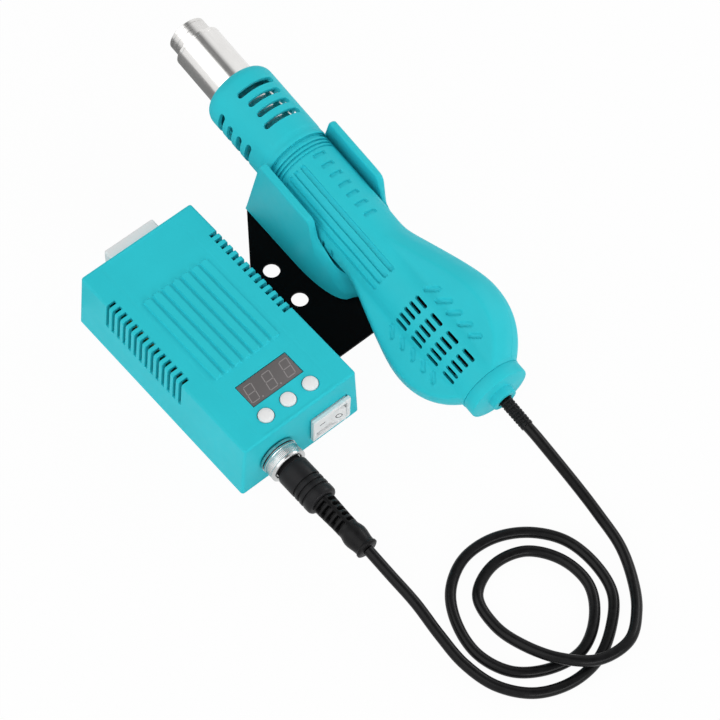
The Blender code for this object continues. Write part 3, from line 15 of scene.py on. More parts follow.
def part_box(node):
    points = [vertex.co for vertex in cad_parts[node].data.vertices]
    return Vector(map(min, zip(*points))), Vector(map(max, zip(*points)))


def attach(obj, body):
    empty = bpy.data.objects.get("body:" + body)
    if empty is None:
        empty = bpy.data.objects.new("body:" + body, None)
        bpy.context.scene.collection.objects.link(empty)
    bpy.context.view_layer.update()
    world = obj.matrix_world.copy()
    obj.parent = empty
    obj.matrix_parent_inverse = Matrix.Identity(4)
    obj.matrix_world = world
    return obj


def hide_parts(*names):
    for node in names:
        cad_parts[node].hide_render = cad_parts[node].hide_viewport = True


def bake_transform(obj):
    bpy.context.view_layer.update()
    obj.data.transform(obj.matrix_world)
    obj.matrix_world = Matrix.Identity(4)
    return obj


bl_info = {
    "name": "Rework Station Looks",
    "version": (1, 0, 0),
    "blender": (4, 5, 0),
    "location": "View3D > Sidebar > Rework Station",
    "description": "Builds the visible surfaces and finishes of a hot-air rework station",
    "category": "Add Mesh",
}

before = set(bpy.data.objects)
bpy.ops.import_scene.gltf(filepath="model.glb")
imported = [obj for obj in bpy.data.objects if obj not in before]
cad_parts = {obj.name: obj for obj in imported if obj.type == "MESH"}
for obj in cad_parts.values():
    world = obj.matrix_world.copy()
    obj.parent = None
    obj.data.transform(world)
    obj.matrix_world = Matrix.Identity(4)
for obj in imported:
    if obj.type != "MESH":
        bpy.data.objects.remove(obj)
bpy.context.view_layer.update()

MM = 0.001
GAP = 0.3

# Controller case, millimetres
CASE_LENGTH = 110.0
CASE_WIDTH = 60.0
CASE_HEIGHT = 33.0
CASE_DRAFT = (2.2, 0.8)
CASE_WALL = 2.0
CASE_CORNER = 1.3
CASE_TOP_ROUND = 1.0
VENT_COUNT = 14
VENT_PITCH = 3.75
VENT_WIDTH = 1.9
VENT_REAR_Y = 36.2
VENT_INNER_X = 25.7
VENT_BOTTOM = 17.5
WINDOW_HALF = (13.6, 6.2)
WINDOW_Y = -34.5
BUTTON_XS = (-12.0, 0.0, 12.0)
BUTTON_Y = -46.8
BUTTON_RADIUS = 3.5
SWITCH_CENTRE = (15.0, 13.7)
SWITCH_HALF = (9.7, 6.7)
SOCKET_CENTRE = (-13.5, 14.5)
SOCKET_RADIUS = 6.4
INLET_CENTRE = (1.8, 16.0)
INLET_HALF = (13.6, 10.3)

# Handset axis and its turned sizes
AXIS_POINT = (79.2, 26.0, 32.0)
AXIS_YAW = 2.6
AXIS_TILT = 4.2
AXIS_ROLL = 41.5
GRIP_RADIUS = 16.3
SHELL_WALL = 2.0
SHELL_FRONT = 18.7
COLLAR_FRONT = 26.0
COLLAR_RADIUS = 14.4
SHELL_REAR = -117.7
FAN_S = -88.0
FAN_HALF_WIDTH = 29.0
FAN_REAR_REACH = 33.0
FLANK_SLOPE = 0.375
FLANK_START = 12.0
FAN_TOP = 12.0
FAN_BOTTOM = 11.8
TAIL_RADIUS = 14.4

HOLDER = (Matrix.Translation(Vector(AXIS_POINT) * MM)
          @ Matrix.Rotation(math.radians(-AXIS_YAW), 4, 'Z'))
HANDSET = (HOLDER @ Matrix.Rotation(math.radians(AXIS_TILT), 4, 'X')
           @ Matrix.Rotation(math.radians(-AXIS_ROLL), 4, 'Y'))

# The cable's middle line, in the order it leaves the handset
CORD_POINTS = (
    (0.0733, -0.1458, 0.0129), (0.0735, -0.1603, 0.0072), (0.0720, -0.1754, 0.0035),
    (0.0656, -0.1896, 0.0031), (0.0561, -0.2017, 0.0056), (0.0434, -0.2102, 0.0080),
    (0.0282, -0.2086, 0.0083), (0.0167, -0.1983, 0.0081), (0.0099, -0.1845, 0.0064),
    (0.0078, -0.1694, 0.0032), (0.0116, -0.1545, 0.0025), (0.0255, -0.1482, 0.0025),
    (0.0404, -0.1518, 0.0025), (0.0495, -0.1644, 0.0025), (0.0503, -0.1798, 0.0025),
    (0.0416, -0.1924, 0.0025), (0.0279, -0.1997, 0.0025), (0.0126, -0.1974, 0.0025),
    (-0.0002, -0.1887, 0.0025), (-0.0059, -0.1745, 0.0025), (-0.0036, -0.1591, 0.0025),
    (0.0044, -0.1459, 0.0025), (0.0180, -0.1383, 0.0025), (0.0335, -0.1388, 0.0025),
    (0.0472, -0.1461, 0.0025), (0.0565, -0.1585, 0.0025), (0.0587, -0.1739, 0.0025),
    (0.0550, -0.1890, 0.0025), (0.0439, -0.1998, 0.0025), (0.0300, -0.2068, 0.0025),
    (0.0145, -0.2073, 0.0025), (0.0002, -0.2012, 0.0025), (-0.0095, -0.1890, 0.0026),
    (-0.0134, -0.1740, 0.0038), (-0.0137, -0.1588, 0.0070), (-0.0131, -0.1436, 0.0107),
    (-0.0134, -0.1281, 0.0129),
)
RELIEF_END = -141.9
CORD_END = (-0.0135, -0.1143, 0.0145)


# Mesh helpers

def grid_faces(rows, columns, around=False):
    """Quads of a grid of points; around joins the last column to the first."""
    r = np.arange(rows - 1)[:, None]
    c = np.arange(columns if around else columns - 1)[None, :]
    after = (c + 1) % columns
    quads = [r * columns + c, r * columns + after, (r + 1) * columns + after,
             (r + 1) * columns + c]
    return np.stack(np.broadcast_arrays(*quads), -1).reshape(-1, 4)


def mesh_piece(name, points, faces, crease=35.0, matrix=None, merge=0.0):
    """An object from points in millimetres and a list of face arrays, placed by baking matrix."""
    points = np.asarray(points, float).reshape(-1, 3) * MM
    if matrix is not None:
        turn = np.array(matrix)
        points = points @ turn[:3, :3].T + turn[:3, 3]
    listed = [face for block in faces for face in np.asarray(block).tolist()]
    mesh = bpy.data.meshes.new(name)
    mesh.from_pydata(points.tolist(), [], listed)
    tidy = bmesh.new()
    tidy.from_mesh(mesh)
    loose = [v for v in tidy.verts if not v.link_faces]
    bmesh.ops.delete(tidy, geom=loose, context='VERTS')
    if merge:
        bmesh.ops.remove_doubles(tidy, verts=tidy.verts, dist=merge * MM)
    if tidy.calc_volume(signed=True) < 0.0:
        bmesh.ops.reverse_faces(tidy, faces=tidy.faces)
    tidy.to_mesh(mesh)
    tidy.free()
    mesh.validate()
    mesh.shade_smooth()
    mesh.set_sharp_from_angle(angle=math.radians(crease))
    obj = bpy.data.objects.new(name, mesh)
    bpy.context.scene.collection.objects.link(obj)
    return obj


def walls_between(quads, count):
    """Quads that join a sheet's open edges to those of its copy, which is count points on."""
    edges = np.concatenate([quads[:, [k, (k + 1) % 4]] for k in range(4)])
    forward = edges[:, 0] * count + edges[:, 1]
    backward = edges[:, 1] * count + edges[:, 0]
    open_edges = edges[~np.isin(forward, backward)]
    return np.stack([open_edges[:, 1], open_edges[:, 0], open_edges[:, 0] + count,
                     open_edges[:, 1] + count], -1)


def shell_parts(outer, inner, quads):
    """A closed wall between two sheets of points that share the same quads."""
    count = len(outer)
    walls = walls_between(quads, count)
    return np.concatenate([outer, inner]), [quads, quads[:, ::-1] + count, walls]


def joined_parts(*parts):
    """Several (points, faces) put together as one."""
    points = []
    faces = []
    start = 0
    for some, blocks in parts:
        points.append(np.asarray(some, float).reshape(-1, 3))
        faces += [np.asarray(block) + start for block in blocks]
        start += len(points[-1])
    return np.concatenate(points), faces


def rounded_edges(obj, width, segments=2, angle=50.0):
    """A small bevel on the edges sharper than angle, width in millimetres."""
    bevel = obj.modifiers.new("edge_round", 'BEVEL')
    bevel.width = width * MM
    bevel.segments = segments
    bevel.limit_method = 'ANGLE'
    bevel.angle_limit = math.radians(angle)
    bevel.harden_normals = True
    bevel.use_clamp_overlap = True
    return obj


def lathe_parts(profile, count=96, centre=(0.0, 0.0), axis='Y'):
    """A profile of (radius, height) turned round a line along axis; each end closes if its
    radius is zero, and a profile that ends where it starts makes a ring."""
    profile = np.asarray(profile, float)
    ring = bool(np.allclose(profile[0], profile[-1]))
    if ring:
        profile = profile[:-1]
    turn = np.linspace(0.0, 2.0 * np.pi, count, endpoint=False)
    radius = profile[:, 0:1]
    along = np.repeat(profile[:, 1:2], count, 1)
    across = radius * np.sin(turn) + 0.0 * along
    up = radius * np.cos(turn) + 0.0 * along
    points = np.stack([across, along, up], -1)
    rows = len(profile)
    quads = grid_faces(rows + 1, count, True) % (rows * count) if ring else grid_faces(
        rows, count, True)
    points = points.reshape(-1, 3)
    faces = []
    if not ring:
        first = profile[0, 0] < 1e-6
        last = profile[-1, 0] < 1e-6
        fans = []
        if first:
            k = np.arange(count)
            fans.append(np.stack([np.zeros(count, int), count + (k + 1) % count, count + k], -1))
            quads = quads[count:]
        if last:
            base = (rows - 2) * count
            k = np.arange(count)
            fans.append(np.stack([np.full(count, (rows - 1) * count), base + k,
                                  base + (k + 1) % count], -1))
            quads = quads[:-count]
        faces += fans
        if not first:
            faces.append(np.arange(count)[::-1][None, :])
        if not last:
            faces.append((np.arange(count) + (rows - 1) * count)[None, :])
    faces.append(quads)
    if axis == 'Z':
        points = points[:, [0, 2, 1]] * (1.0, -1.0, 1.0)
    offset = (centre[0], 0.0, centre[1]) if axis == 'Y' else (centre[0], centre[1], 0.0)
    return points + offset, faces


def softened(values, sharpness):
    """A smooth step from 0 to 1 as values pass from -sharpness to +sharpness."""
    t = np.clip(0.5 + 0.5 * values / sharpness, 0.0, 1.0)
    return t * t * (3.0 - 2.0 * t)


def box_distance(u, v, half_u, half_v, corner):
    """Signed distance to a rounded rectangle about the origin, negative inside."""
    du = np.abs(u) - (half_u - corner)
    dv = np.abs(v) - (half_v - corner)
    outside = np.hypot(np.maximum(du, 0.0), np.maximum(dv, 0.0))
    return outside + np.minimum(np.maximum(du, dv), 0.0) - corner


def spaced(stops, step):
    """Sorted lines through every stop, with the gaps between them split below step."""
    stops = np.unique(np.round(np.asarray(stops, float), 4))
    lines = [np.linspace(a, b, max(1, math.ceil((b - a) / step - 1e-6)), endpoint=False)
             for a, b in zip(stops, stops[1:])]
    return np.concatenate(lines + [stops[-1:]])


# Finishes

def scaled(colour, factor):
    """A colour made lighter or darker, and never past white."""
    return tuple(min(1.0, channel * factor) for channel in colour)


def bare_finish(name, colour, roughness, metallic=0.0):
    """A Principled material and its Object coordinates in millimetres."""
    finish = bpy.data.materials.new(name)
    finish.use_nodes = True
    tree = finish.node_tree
    shader = tree.nodes["Principled BSDF"]
    shader.inputs["Base Color"].default_value = (*colour, 1.0)
    shader.inputs["Roughness"].default_value = roughness
    shader.inputs["Metallic"].default_value = metallic
    where = tree.nodes.new("ShaderNodeTexCoord")
    mapping = tree.nodes.new("ShaderNodeMapping")
    mapping.inputs["Scale"].default_value = (1000.0, 1000.0, 1000.0)
    tree.links.new(where.outputs["Object"], mapping.inputs["Vector"])
    return finish, tree, shader, mapping.outputs["Vector"]


def noise(tree, place, scale, detail=2.0, rough=0.5):
    """Noise of about 1/scale millimetres."""
    node = tree.nodes.new("ShaderNodeTexNoise")
    node.inputs["Scale"].default_value = scale
    node.inputs["Detail"].default_value = detail
    node.inputs["Roughness"].default_value = rough
    tree.links.new(place, node.inputs["Vector"])
    return node.outputs["Fac"]


def remap(tree, value, low, high, from_low=0.3, from_high=0.7):
    """A value stretched from one range to another, and clipped to it."""
    node = tree.nodes.new("ShaderNodeMapRange")
    node.inputs["From Min"].default_value = from_low
    node.inputs["From Max"].default_value = from_high
    node.inputs["To Min"].default_value = low
    node.inputs["To Max"].default_value = high
    tree.links.new(value, node.inputs["Value"])
    return node.outputs["Result"]


def blended(tree, factor, first, second):
    """A colour between two, each a tuple or another node's colour."""
    node = tree.nodes.new("ShaderNodeMix")
    node.data_type = 'RGBA'
    tree.links.new(factor, node.inputs["Factor"])
    for key, value in (("A", first), ("B", second)):
        socket = next(s for s in node.inputs if s.name == key and s.type == 'RGBA')
        if isinstance(value, tuple):
            socket.default_value = (*value, 1.0)
        else:
            tree.links.new(value, socket)
    return next(s for s in node.outputs if s.type == 'RGBA')


def summed(tree, operation, first, second):
    """A Math node on two values, either of which may be a number."""
    node = tree.nodes.new("ShaderNodeMath")
    node.operation = operation
    for socket, value in zip(node.inputs, (first, second)):
        if isinstance(value, (int, float)):
            socket.default_value = value
        else:
            tree.links.new(value, socket)
    return node.outputs["Value"]


def bumped(tree, shader, height, depth):
    """Height, from 0 to 1, raises the surface by up to depth millimetres."""
    node = tree.nodes.new("ShaderNodeBump")
    node.inputs["Strength"].default_value = 1.0
    node.inputs["Distance"].default_value = depth * MM
    tree.links.new(height, node.inputs["Height"])
    tree.links.new(node.outputs["Normal"], shader.inputs["Normal"])


def moulded(name, colour, roughness, grain=4.0, depth=0.006, mottle=0.035):
    """Injection-moulded plastic: a spark-eroded grain, faint flow clouds and uneven gloss."""
    finish, tree, shader, place = bare_finish(name, colour, roughness)
    clouds = noise(tree, place, 0.045, 3.0)
    specks = noise(tree, place, grain * 0.6, 2.0)
    tone = summed(tree, 'ADD', summed(tree, 'MULTIPLY', clouds, 0.75),
                  summed(tree, 'MULTIPLY', specks, 0.25))
    colours = blended(tree, remap(tree, tone, 0.0, 1.0), scaled(colour, 1.0 - mottle),
                      scaled(colour, 1.0 + mottle))
    tree.links.new(colours, shader.inputs["Base Color"])
    gloss = noise(tree, place, 0.22, 4.0, 0.6)
    tree.links.new(remap(tree, gloss, roughness - 0.035, roughness + 0.045),
                   shader.inputs["Roughness"])
    grains = noise(tree, place, grain, 3.0, 0.6)
    bumped(tree, shader, grains, depth)
    shader.inputs["Specular IOR Level"].default_value = 0.12
    return finish


def rubber(name, colour, roughness):
    """Soft PVC: nearly black, a satin gloss with smears, and a fine drawn skin."""
    finish, tree, shader, place = bare_finish(name, colour, roughness)
    smears = noise(tree, place, 0.35, 4.0, 0.65)
    dust = noise(tree, place, 7.0, 2.0)
    tone = summed(tree, 'MULTIPLY', remap(tree, smears, 0.0, 1.0), remap(tree, dust, 0.5, 1.0))
    tree.links.new(blended(tree, tone, scaled(colour, 0.8), scaled(colour, 1.7)),
                   shader.inputs["Base Color"])
    tree.links.new(remap(tree, smears, roughness - 0.06, roughness + 0.08),
                   shader.inputs["Roughness"])
    skin = summed(tree, 'ADD', summed(tree, 'MULTIPLY', noise(tree, place, 5.0, 2.0), 0.6),
                  summed(tree, 'MULTIPLY', noise(tree, place, 0.8, 2.0), 0.4))
    bumped(tree, shader, skin, 0.012)
    shader.inputs["Specular IOR Level"].default_value = 0.14
    return finish


def brushed(name, colour, roughness, direction, matrix=None, depth=0.003):
    """Drawn or turned metal: streaks stretched along direction, in the frame of matrix."""
    finish, tree, shader, place = bare_finish(name, colour, roughness, 1.0)
    mapping = place.node
    if matrix is not None:
        turn = matrix.to_3x3().inverted().to_euler()
        mapping.inputs["Rotation"].default_value = turn
    stretch = tree.nodes.new("ShaderNodeMapping")
    stretch.inputs["Scale"].default_value = direction
    tree.links.new(place, stretch.inputs["Vector"])
    streaks = noise(tree, stretch.outputs["Vector"], 1.0, 4.0, 0.65)
    stains = noise(tree, place, 0.16, 4.0, 0.6)
    tone = summed(tree, 'ADD', summed(tree, 'MULTIPLY', streaks, 0.75),
                  summed(tree, 'MULTIPLY', stains, 0.25))
    tree.links.new(blended(tree, remap(tree, tone, 0.0, 1.0), scaled(colour, 0.93),
                           scaled(colour, 1.05)), shader.inputs["Base Color"])
    tree.links.new(remap(tree, tone, roughness - 0.05, roughness + 0.06),
                   shader.inputs["Roughness"])
    bumped(tree, shader, streaks, depth)
    return finish


def powder_coat(name, colour, roughness):
    """Black powder coat on sheet steel: orange peel under a fine sparkle of roughness."""
    finish, tree, shader, place = bare_finish(name, colour, roughness)
    peel = noise(tree, place, 1.1, 3.0, 0.6)
    fine = noise(tree, place, 6.0, 2.0)
    tree.links.new(blended(tree, remap(tree, peel, 0.0, 1.0), scaled(colour, 0.7),
                           scaled(colour, 1.5)), shader.inputs["Base Color"])
    tree.links.new(remap(tree, fine, roughness - 0.07, roughness + 0.07),
                   shader.inputs["Roughness"])
    height = summed(tree, 'ADD', summed(tree, 'MULTIPLY', peel, 0.7),
                    summed(tree, 'MULTIPLY', fine, 0.3))
    bumped(tree, shader, height, 0.020)
    shader.inputs["Specular IOR Level"].default_value = 0.05
    return finish


def board_finish(name, mask, copper):
    """Solder mask with tracks and pads that show through it as a lighter, raised pattern."""
    finish, tree, shader, place = bare_finish(name, mask, 0.35)
    tracks = tree.nodes.new("ShaderNodeTexBrick")
    tracks.inputs["Scale"].default_value = 1.0
    tracks.inputs["Brick Width"].default_value = 5.5
    tracks.inputs["Row Height"].default_value = 1.7
    tracks.inputs["Mortar Size"].default_value = 0.16
    tracks.offset = 0.37
    tree.links.new(place, tracks.inputs["Vector"])
    pads = tree.nodes.new("ShaderNodeTexVoronoi")
    pads.inputs["Scale"].default_value = 0.34
    tree.links.new(place, pads.inputs["Vector"])
    pad = remap(tree, pads.outputs["Distance"], 1.0, 0.0, 0.13, 0.17)
    masked = blended(tree, tracks.outputs["Fac"], mask, scaled(mask, 2.1))
    tree.links.new(blended(tree, pad, masked, copper), shader.inputs["Base Color"])
    tree.links.new(remap(tree, pad, 0.38, 0.25, 0.0, 1.0), shader.inputs["Roughness"])
    height = summed(tree, 'MAXIMUM', tracks.outputs["Fac"], pad)
    bumped(tree, shader, height, 0.035)
    return finish


def banded(name, colour, second, roughness, width, axis='Z', metallic=0.0, depth=0.02):
    """A wrapped or wound surface: soft bands width millimetres apart across axis."""
    finish, tree, shader, place = bare_finish(name, colour, roughness, metallic)
    bands = tree.nodes.new("ShaderNodeTexWave")
    bands.wave_type = 'BANDS'
    bands.bands_direction = axis
    bands.inputs["Scale"].default_value = 0.314 / width
    bands.inputs["Distortion"].default_value = 0.25
    tree.links.new(place, bands.inputs["Vector"])
    tree.links.new(blended(tree, remap(tree, bands.outputs["Fac"], 0.0, 1.0, 0.55, 0.9),
                           colour, second), shader.inputs["Base Color"])
    smears = noise(tree, place, 0.5, 3.0)
    tree.links.new(remap(tree, smears, roughness - 0.06, roughness + 0.06),
                   shader.inputs["Roughness"])
    bumped(tree, shader, bands.outputs["Fac"], depth)
    return finish


def smoked(name, colour, roughness):
    """A tinted acrylic window: glossy, with the faintest cast ripple."""
    finish, tree, shader, place = bare_finish(name, colour, roughness)
    ripple = noise(tree, place, 0.12, 2.0)
    haze = noise(tree, place, 3.0, 2.0)
    tree.links.new(blended(tree, remap(tree, haze, 0.0, 1.0), scaled(colour, 0.94),
                           scaled(colour, 1.06)), shader.inputs["Base Color"])
    tree.links.new(remap(tree, haze, roughness - 0.02, roughness + 0.03),
                   shader.inputs["Roughness"])
    bumped(tree, shader, ripple, 0.03)
    return finish


FINISHES = {}


def make_finishes(settings):
    """Every finish of the station, from its few settable colours."""
    teal = tuple(settings.teal)
    white = tuple(settings.white)
    black = tuple(settings.black)
    grain = settings.grain
    steel = (0.80, 0.79, 0.775)
    FINISHES.update({
        "teal": moulded("teal_abs", teal, settings.teal_roughness, grain, 0.007),
        "white": moulded("white_abs", white, 0.34, grain, 0.004, 0.02),
        "black": moulded("black_nylon", scaled(black, 2.6), 0.40, grain, 0.008, 0.12),
        "base": moulded("base_plate_black", scaled(black, 1.5), 0.5, 2.2, 0.015, 0.12),
        "rubber": rubber("black_pvc", black, 0.40),
        "cord": rubber("cable_pvc", black, 0.26),
        "nozzle": brushed("drawn_steel", steel, 0.19, (1.6, 0.05, 1.6), HANDSET),
        "sleeve": brushed("turned_steel", scaled(steel, 0.9), 0.26, (0.25, 2.6, 0.25), HANDSET),
        "plated": brushed("nickel_plate", (0.54, 0.55, 0.55), 0.24, (0.4, 2.2, 0.4),
                          depth=0.001),
        "pin": brushed("tinned_brass_pin", (0.72, 0.70, 0.66), 0.25, (2.0, 0.08, 2.0)),
        "fastener": brushed("zinc_screw", (0.62, 0.62, 0.60), 0.32, (2.0, 2.0, 0.6)),
        "bracket": powder_coat("black_powder_coat", (0.0016, 0.0016, 0.0018), 0.62),
        "board": board_finish("green_board", (0.015, 0.120, 0.045), (0.62, 0.58, 0.48)),
        "lens": smoked("smoked_window", tuple(settings.window), 0.16),
        "tape": banded("transformer_tape", (0.72, 0.56, 0.06), (0.55, 0.40, 0.03), 0.34, 2.6),
        "sleeve_film": banded("capacitor_film", (0.012, 0.020, 0.075), (0.02, 0.035, 0.12),
                              0.26, 4.0, 'X'),
        "heatsink": brushed("heatsink_aluminium", (0.72, 0.73, 0.74), 0.36, (0.2, 2.4, 0.2)),
        "ceramic": moulded("mica_ceramic", (0.66, 0.62, 0.53), 0.62, 2.5, 0.02, 0.10),
        "wire": brushed("heater_wire", (0.36, 0.30, 0.27), 0.38, (1.0, 1.0, 1.0)),
        "magnet": brushed("magnet_nickel", (0.68, 0.68, 0.68), 0.20, (1.2, 1.2, 1.2)),
        "glass": smoked("fuse_glass", (0.42, 0.45, 0.44), 0.08),
        "epoxy": moulded("black_epoxy", (0.014, 0.014, 0.015), 0.38, 5.0, 0.01, 0.1),
        "digits": moulded("display_segments", tuple(settings.digits), 0.40, 5.0, 0.002, 0.03),
        "mark": moulded("printed_mark", (0.035, 0.035, 0.038), 0.45, 5.0, 0.002, 0.05),
    })


def dressed(obj, finish, body, slot, *nodes):
    """Gives a piece its finish, the body it rides on, and the nodes that it stands for."""
    obj.data.materials.clear()
    obj.data.materials.append(FINISHES[finish])
    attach(obj, body)
    if nodes:
        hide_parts(*nodes)
    return obj


def coat_node(node, finish):
    """A finish on a CAD node that keeps its own shape."""
    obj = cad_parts[node]
    obj.data.materials.clear()
    obj.data.materials.append(FINISHES[finish])


# Cable

def smooth_route(points, step):
    """Points every step along a Catmull-Rom curve through the route's own points."""
    points = np.asarray(points, float)
    ends = np.concatenate([[2.0 * points[0] - points[1]], points, [2.0 * points[-1] - points[-2]]])
    t = np.linspace(0.0, 1.0, 24, endpoint=False)[None, :, None]
    a, b, c, d = (ends[k:len(ends) - 3 + k][:, None, :] for k in range(4))
    curve = 0.5 * (2.0 * b + (c - a) * t + (2.0 * a - 5.0 * b + 4.0 * c - d) * t ** 2
                   + (3.0 * b - a - 3.0 * c + d) * t ** 3)
    dense = np.concatenate([curve.reshape(-1, 3), points[-1:]])
    along = np.concatenate([[0.0], np.cumsum(np.linalg.norm(np.diff(dense, axis=0), axis=1))])
    count = max(2, round(along[-1] / step))
    targets = np.linspace(0.0, along[-1], count + 1)
    return np.stack([np.interp(targets, along, dense[:, k]) for k in range(3)], -1), along[-1]


def tube_parts(path, radius, count=32):
    """A round tube: each point of the path carries a circle across the path's direction,
    laid out from the level direction across it and the direction above."""
    path = np.asarray(path, float)
    ahead = np.gradient(path, axis=0)
    ahead /= np.linalg.norm(ahead, axis=1, keepdims=True)
    side = np.cross(ahead, (0.0, 0.0, 1.0))
    side /= np.linalg.norm(side, axis=1, keepdims=True)
    above = np.cross(side, ahead)
    turn = np.linspace(0.0, 2.0 * np.pi, count, endpoint=False)
    radius = np.broadcast_to(np.asarray(radius, float).reshape(-1, 1), (len(path), count))
    points = (path[:, None, :] + (radius * np.cos(turn))[..., None] * side[:, None, :]
              + (radius * np.sin(turn))[..., None] * above[:, None, :])
    quads = grid_faces(len(path), count, True)[:, ::-1]
    last = (len(path) - 1) * count
    ends = [np.arange(count)[None, :], (np.arange(count)[::-1] + last)[None, :]]
    return points.reshape(-1, 3), [quads] + ends


def cable(settings):
    """The cord: one even tube along a smooth route from the strain relief to the plug's boot."""
    start = HANDSET @ Vector((0.0, (RELIEF_END - GAP) * MM, 0.0))
    leaving = HANDSET @ Vector((0.0, (RELIEF_END - 8.5) * MM, 0.0))
    route = [tuple(start), tuple(leaving), *CORD_POINTS, CORD_END]
    path, length = smooth_route(route, settings.step)
    parts = tube_parts(path / MM, settings.radius / MM)
    cord = mesh_piece("cable_cord", *parts)
    cord.data.materials.append(FINISHES["cord"])
    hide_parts("cord")
    return cord, path, length, start


# Stage

CARD_PLACE = (0.0, 180.0)
CARD_HEIGHT = 0.6
FLAG_NORMAL = (0.990, -0.034, -0.139)
FLAG_HIGH = (0.136, -0.079, 0.987)
FLAG_EDGES = (0.14, 0.40)
FLAG_END = (0.05, 0.35)


def make_camera(settings):
    """The camera, turned and shifted as the settings say."""
    camera = bpy.data.objects.new("photo_camera", bpy.data.cameras.new("photo_camera"))
    bpy.context.scene.collection.objects.link(camera)
    camera.data.sensor_width = 36.0
    camera.data.lens = settings.lens
    camera.data.shift_x = settings.shift_x
    camera.data.shift_y = settings.shift_y
    camera.data.clip_end = 10.0
    camera.location = settings.place
    camera.rotation_euler = Euler((settings.tilt, 0.0, settings.heading))
    bpy.context.scene.camera = camera


def softbox(name, place, aim, width, height, watts):
    """A rectangular area lamp at place, turned to face aim."""
    lamp = bpy.data.lights.new(name, 'AREA')
    lamp.shape = 'RECTANGLE'
    lamp.size = width
    lamp.size_y = height
    lamp.energy = watts
    obj = bpy.data.objects.new(name, lamp)
    bpy.context.scene.collection.objects.link(obj)
    obj.location = place
    obj.rotation_euler = (Vector(aim) - Vector(place)).to_track_quat('-Z', 'Y').to_euler()
    return obj


def looking_rays(tree):
    """The light path's node, and a value of 1 where the camera, a reflection or glass looks."""
    path = tree.nodes.new("ShaderNodeLightPath")
    seen = summed(tree, 'MAXIMUM', path.outputs["Is Camera Ray"], path.outputs["Is Glossy Ray"])
    return path, summed(tree, 'MAXIMUM', seen, path.outputs["Is Transmission Ray"])


def seen_as_white(tree, surface, share):
    """Mixes a surface with plain white where the camera, a reflection or glass looks at it."""
    seen = looking_rays(tree)[1]
    factor = summed(tree, 'MULTIPLY', seen, share)
    glow = tree.nodes.new("ShaderNodeEmission")
    glow.inputs["Color"].default_value = (1.0, 1.0, 1.0, 1.0)
    glow.inputs["Strength"].default_value = 1.0
    mix = tree.nodes.new("ShaderNodeMixShader")
    tree.links.new(factor, mix.inputs[0])
    tree.links.new(surface, mix.inputs[1])
    tree.links.new(glow.outputs["Emission"], mix.inputs[2])
    return mix.outputs["Shader"]


def flat_sheet(name, size, count, centre, height):
    """A level square of count lines each way; size is in metres, the rest in millimetres."""
    half = size / MM / 2.0
    lines = np.linspace(-half, half, count)
    x, y = np.meshgrid(lines, lines)
    points = np.stack([x + centre[0], y + centre[1], np.full_like(x, height)], -1)
    return mesh_piece(name, points, [grid_faces(count, count)])


def make_floor(settings):
    """A wide flat sheet, pale and matt, that keeps a light shadow under the object."""
    floor = flat_sheet("floor", settings.floor_size, 9, (0.0, 0.0), 0.0)
    finish, tree, shader, place = bare_finish("pale_floor", (0.84, 0.84, 0.84), 0.9)
    cloud = noise(tree, place, 0.01, 2.0)
    tree.links.new(blended(tree, remap(tree, cloud, 0.0, 1.0), (0.835, 0.835, 0.835),
                           (0.845, 0.845, 0.845)), shader.inputs["Base Color"])
    output = tree.nodes["Material Output"]
    tree.links.new(seen_as_white(tree, shader.outputs["BSDF"], settings.floor_white),
                   output.inputs["Surface"])
    floor.data.materials.append(finish)


def make_card(settings):
    """A black card on the table beside the nozzle: only reflections see it, and it gives the
    steel its dark side."""
    card = flat_sheet("black_card", settings.card_size, 5, CARD_PLACE, CARD_HEIGHT)
    finish, tree, shader, place = bare_finish("card_black", (0.05, 0.05, 0.05), 0.8)
    fibre = noise(tree, place, 0.6, 3.0)
    tree.links.new(blended(tree, remap(tree, fibre, 0.0, 1.0), (0.27, 0.27, 0.27),
                           (0.31, 0.31, 0.31)), shader.inputs["Base Color"])
    card.data.materials.append(finish)
    card.visible_camera = False
    card.visible_diffuse = False
    card.visible_shadow = False
    card.visible_transmission = False


def dark_flag(tree, settings):
    """The share of light left in a black strip that hangs over the table, beside the bright
    ones: it lies along a great circle of the sky, and only where the sky is high."""
    ray = tree.nodes.new("ShaderNodeTexCoord").outputs["Generated"]

    def along(direction):
        """How far the ray points along direction."""
        node = tree.nodes.new("ShaderNodeVectorMath")
        node.operation = 'DOT_PRODUCT'
        tree.links.new(ray, node.inputs[0])
        node.inputs[1].default_value = direction
        return node.outputs["Value"]

    away = summed(tree, 'ABSOLUTE', along(FLAG_NORMAL), 0.0)
    strip = remap(tree, away, settings.flag_light, 1.0, *FLAG_EDGES)
    low = remap(tree, along(FLAG_HIGH), 1.0, 0.0, *FLAG_END)
    return summed(tree, 'MAXIMUM', strip, low)


def make_world(settings):
    """An even white sky, dimmer as a light than as a sight, with one dark strip."""
    world = bpy.data.worlds.new("studio")
    bpy.context.scene.world = world
    world.use_nodes = True
    tree = world.node_tree
    sky = tree.nodes["Background"]
    sky.inputs["Color"].default_value = (1.0, 1.0, 1.0, 1.0)
    path, seen = looking_rays(tree)
    even = remap(tree, seen, settings.ambient, 1.0, 0.0, 1.0)
    straight = summed(tree, 'MAXIMUM', path.outputs["Is Camera Ray"],
                      path.outputs["Is Transmission Ray"])
    flag = summed(tree, 'MAXIMUM', dark_flag(tree, settings), straight)
    tree.links.new(summed(tree, 'MULTIPLY', even, flag), sky.inputs["Strength"])


# Controller case

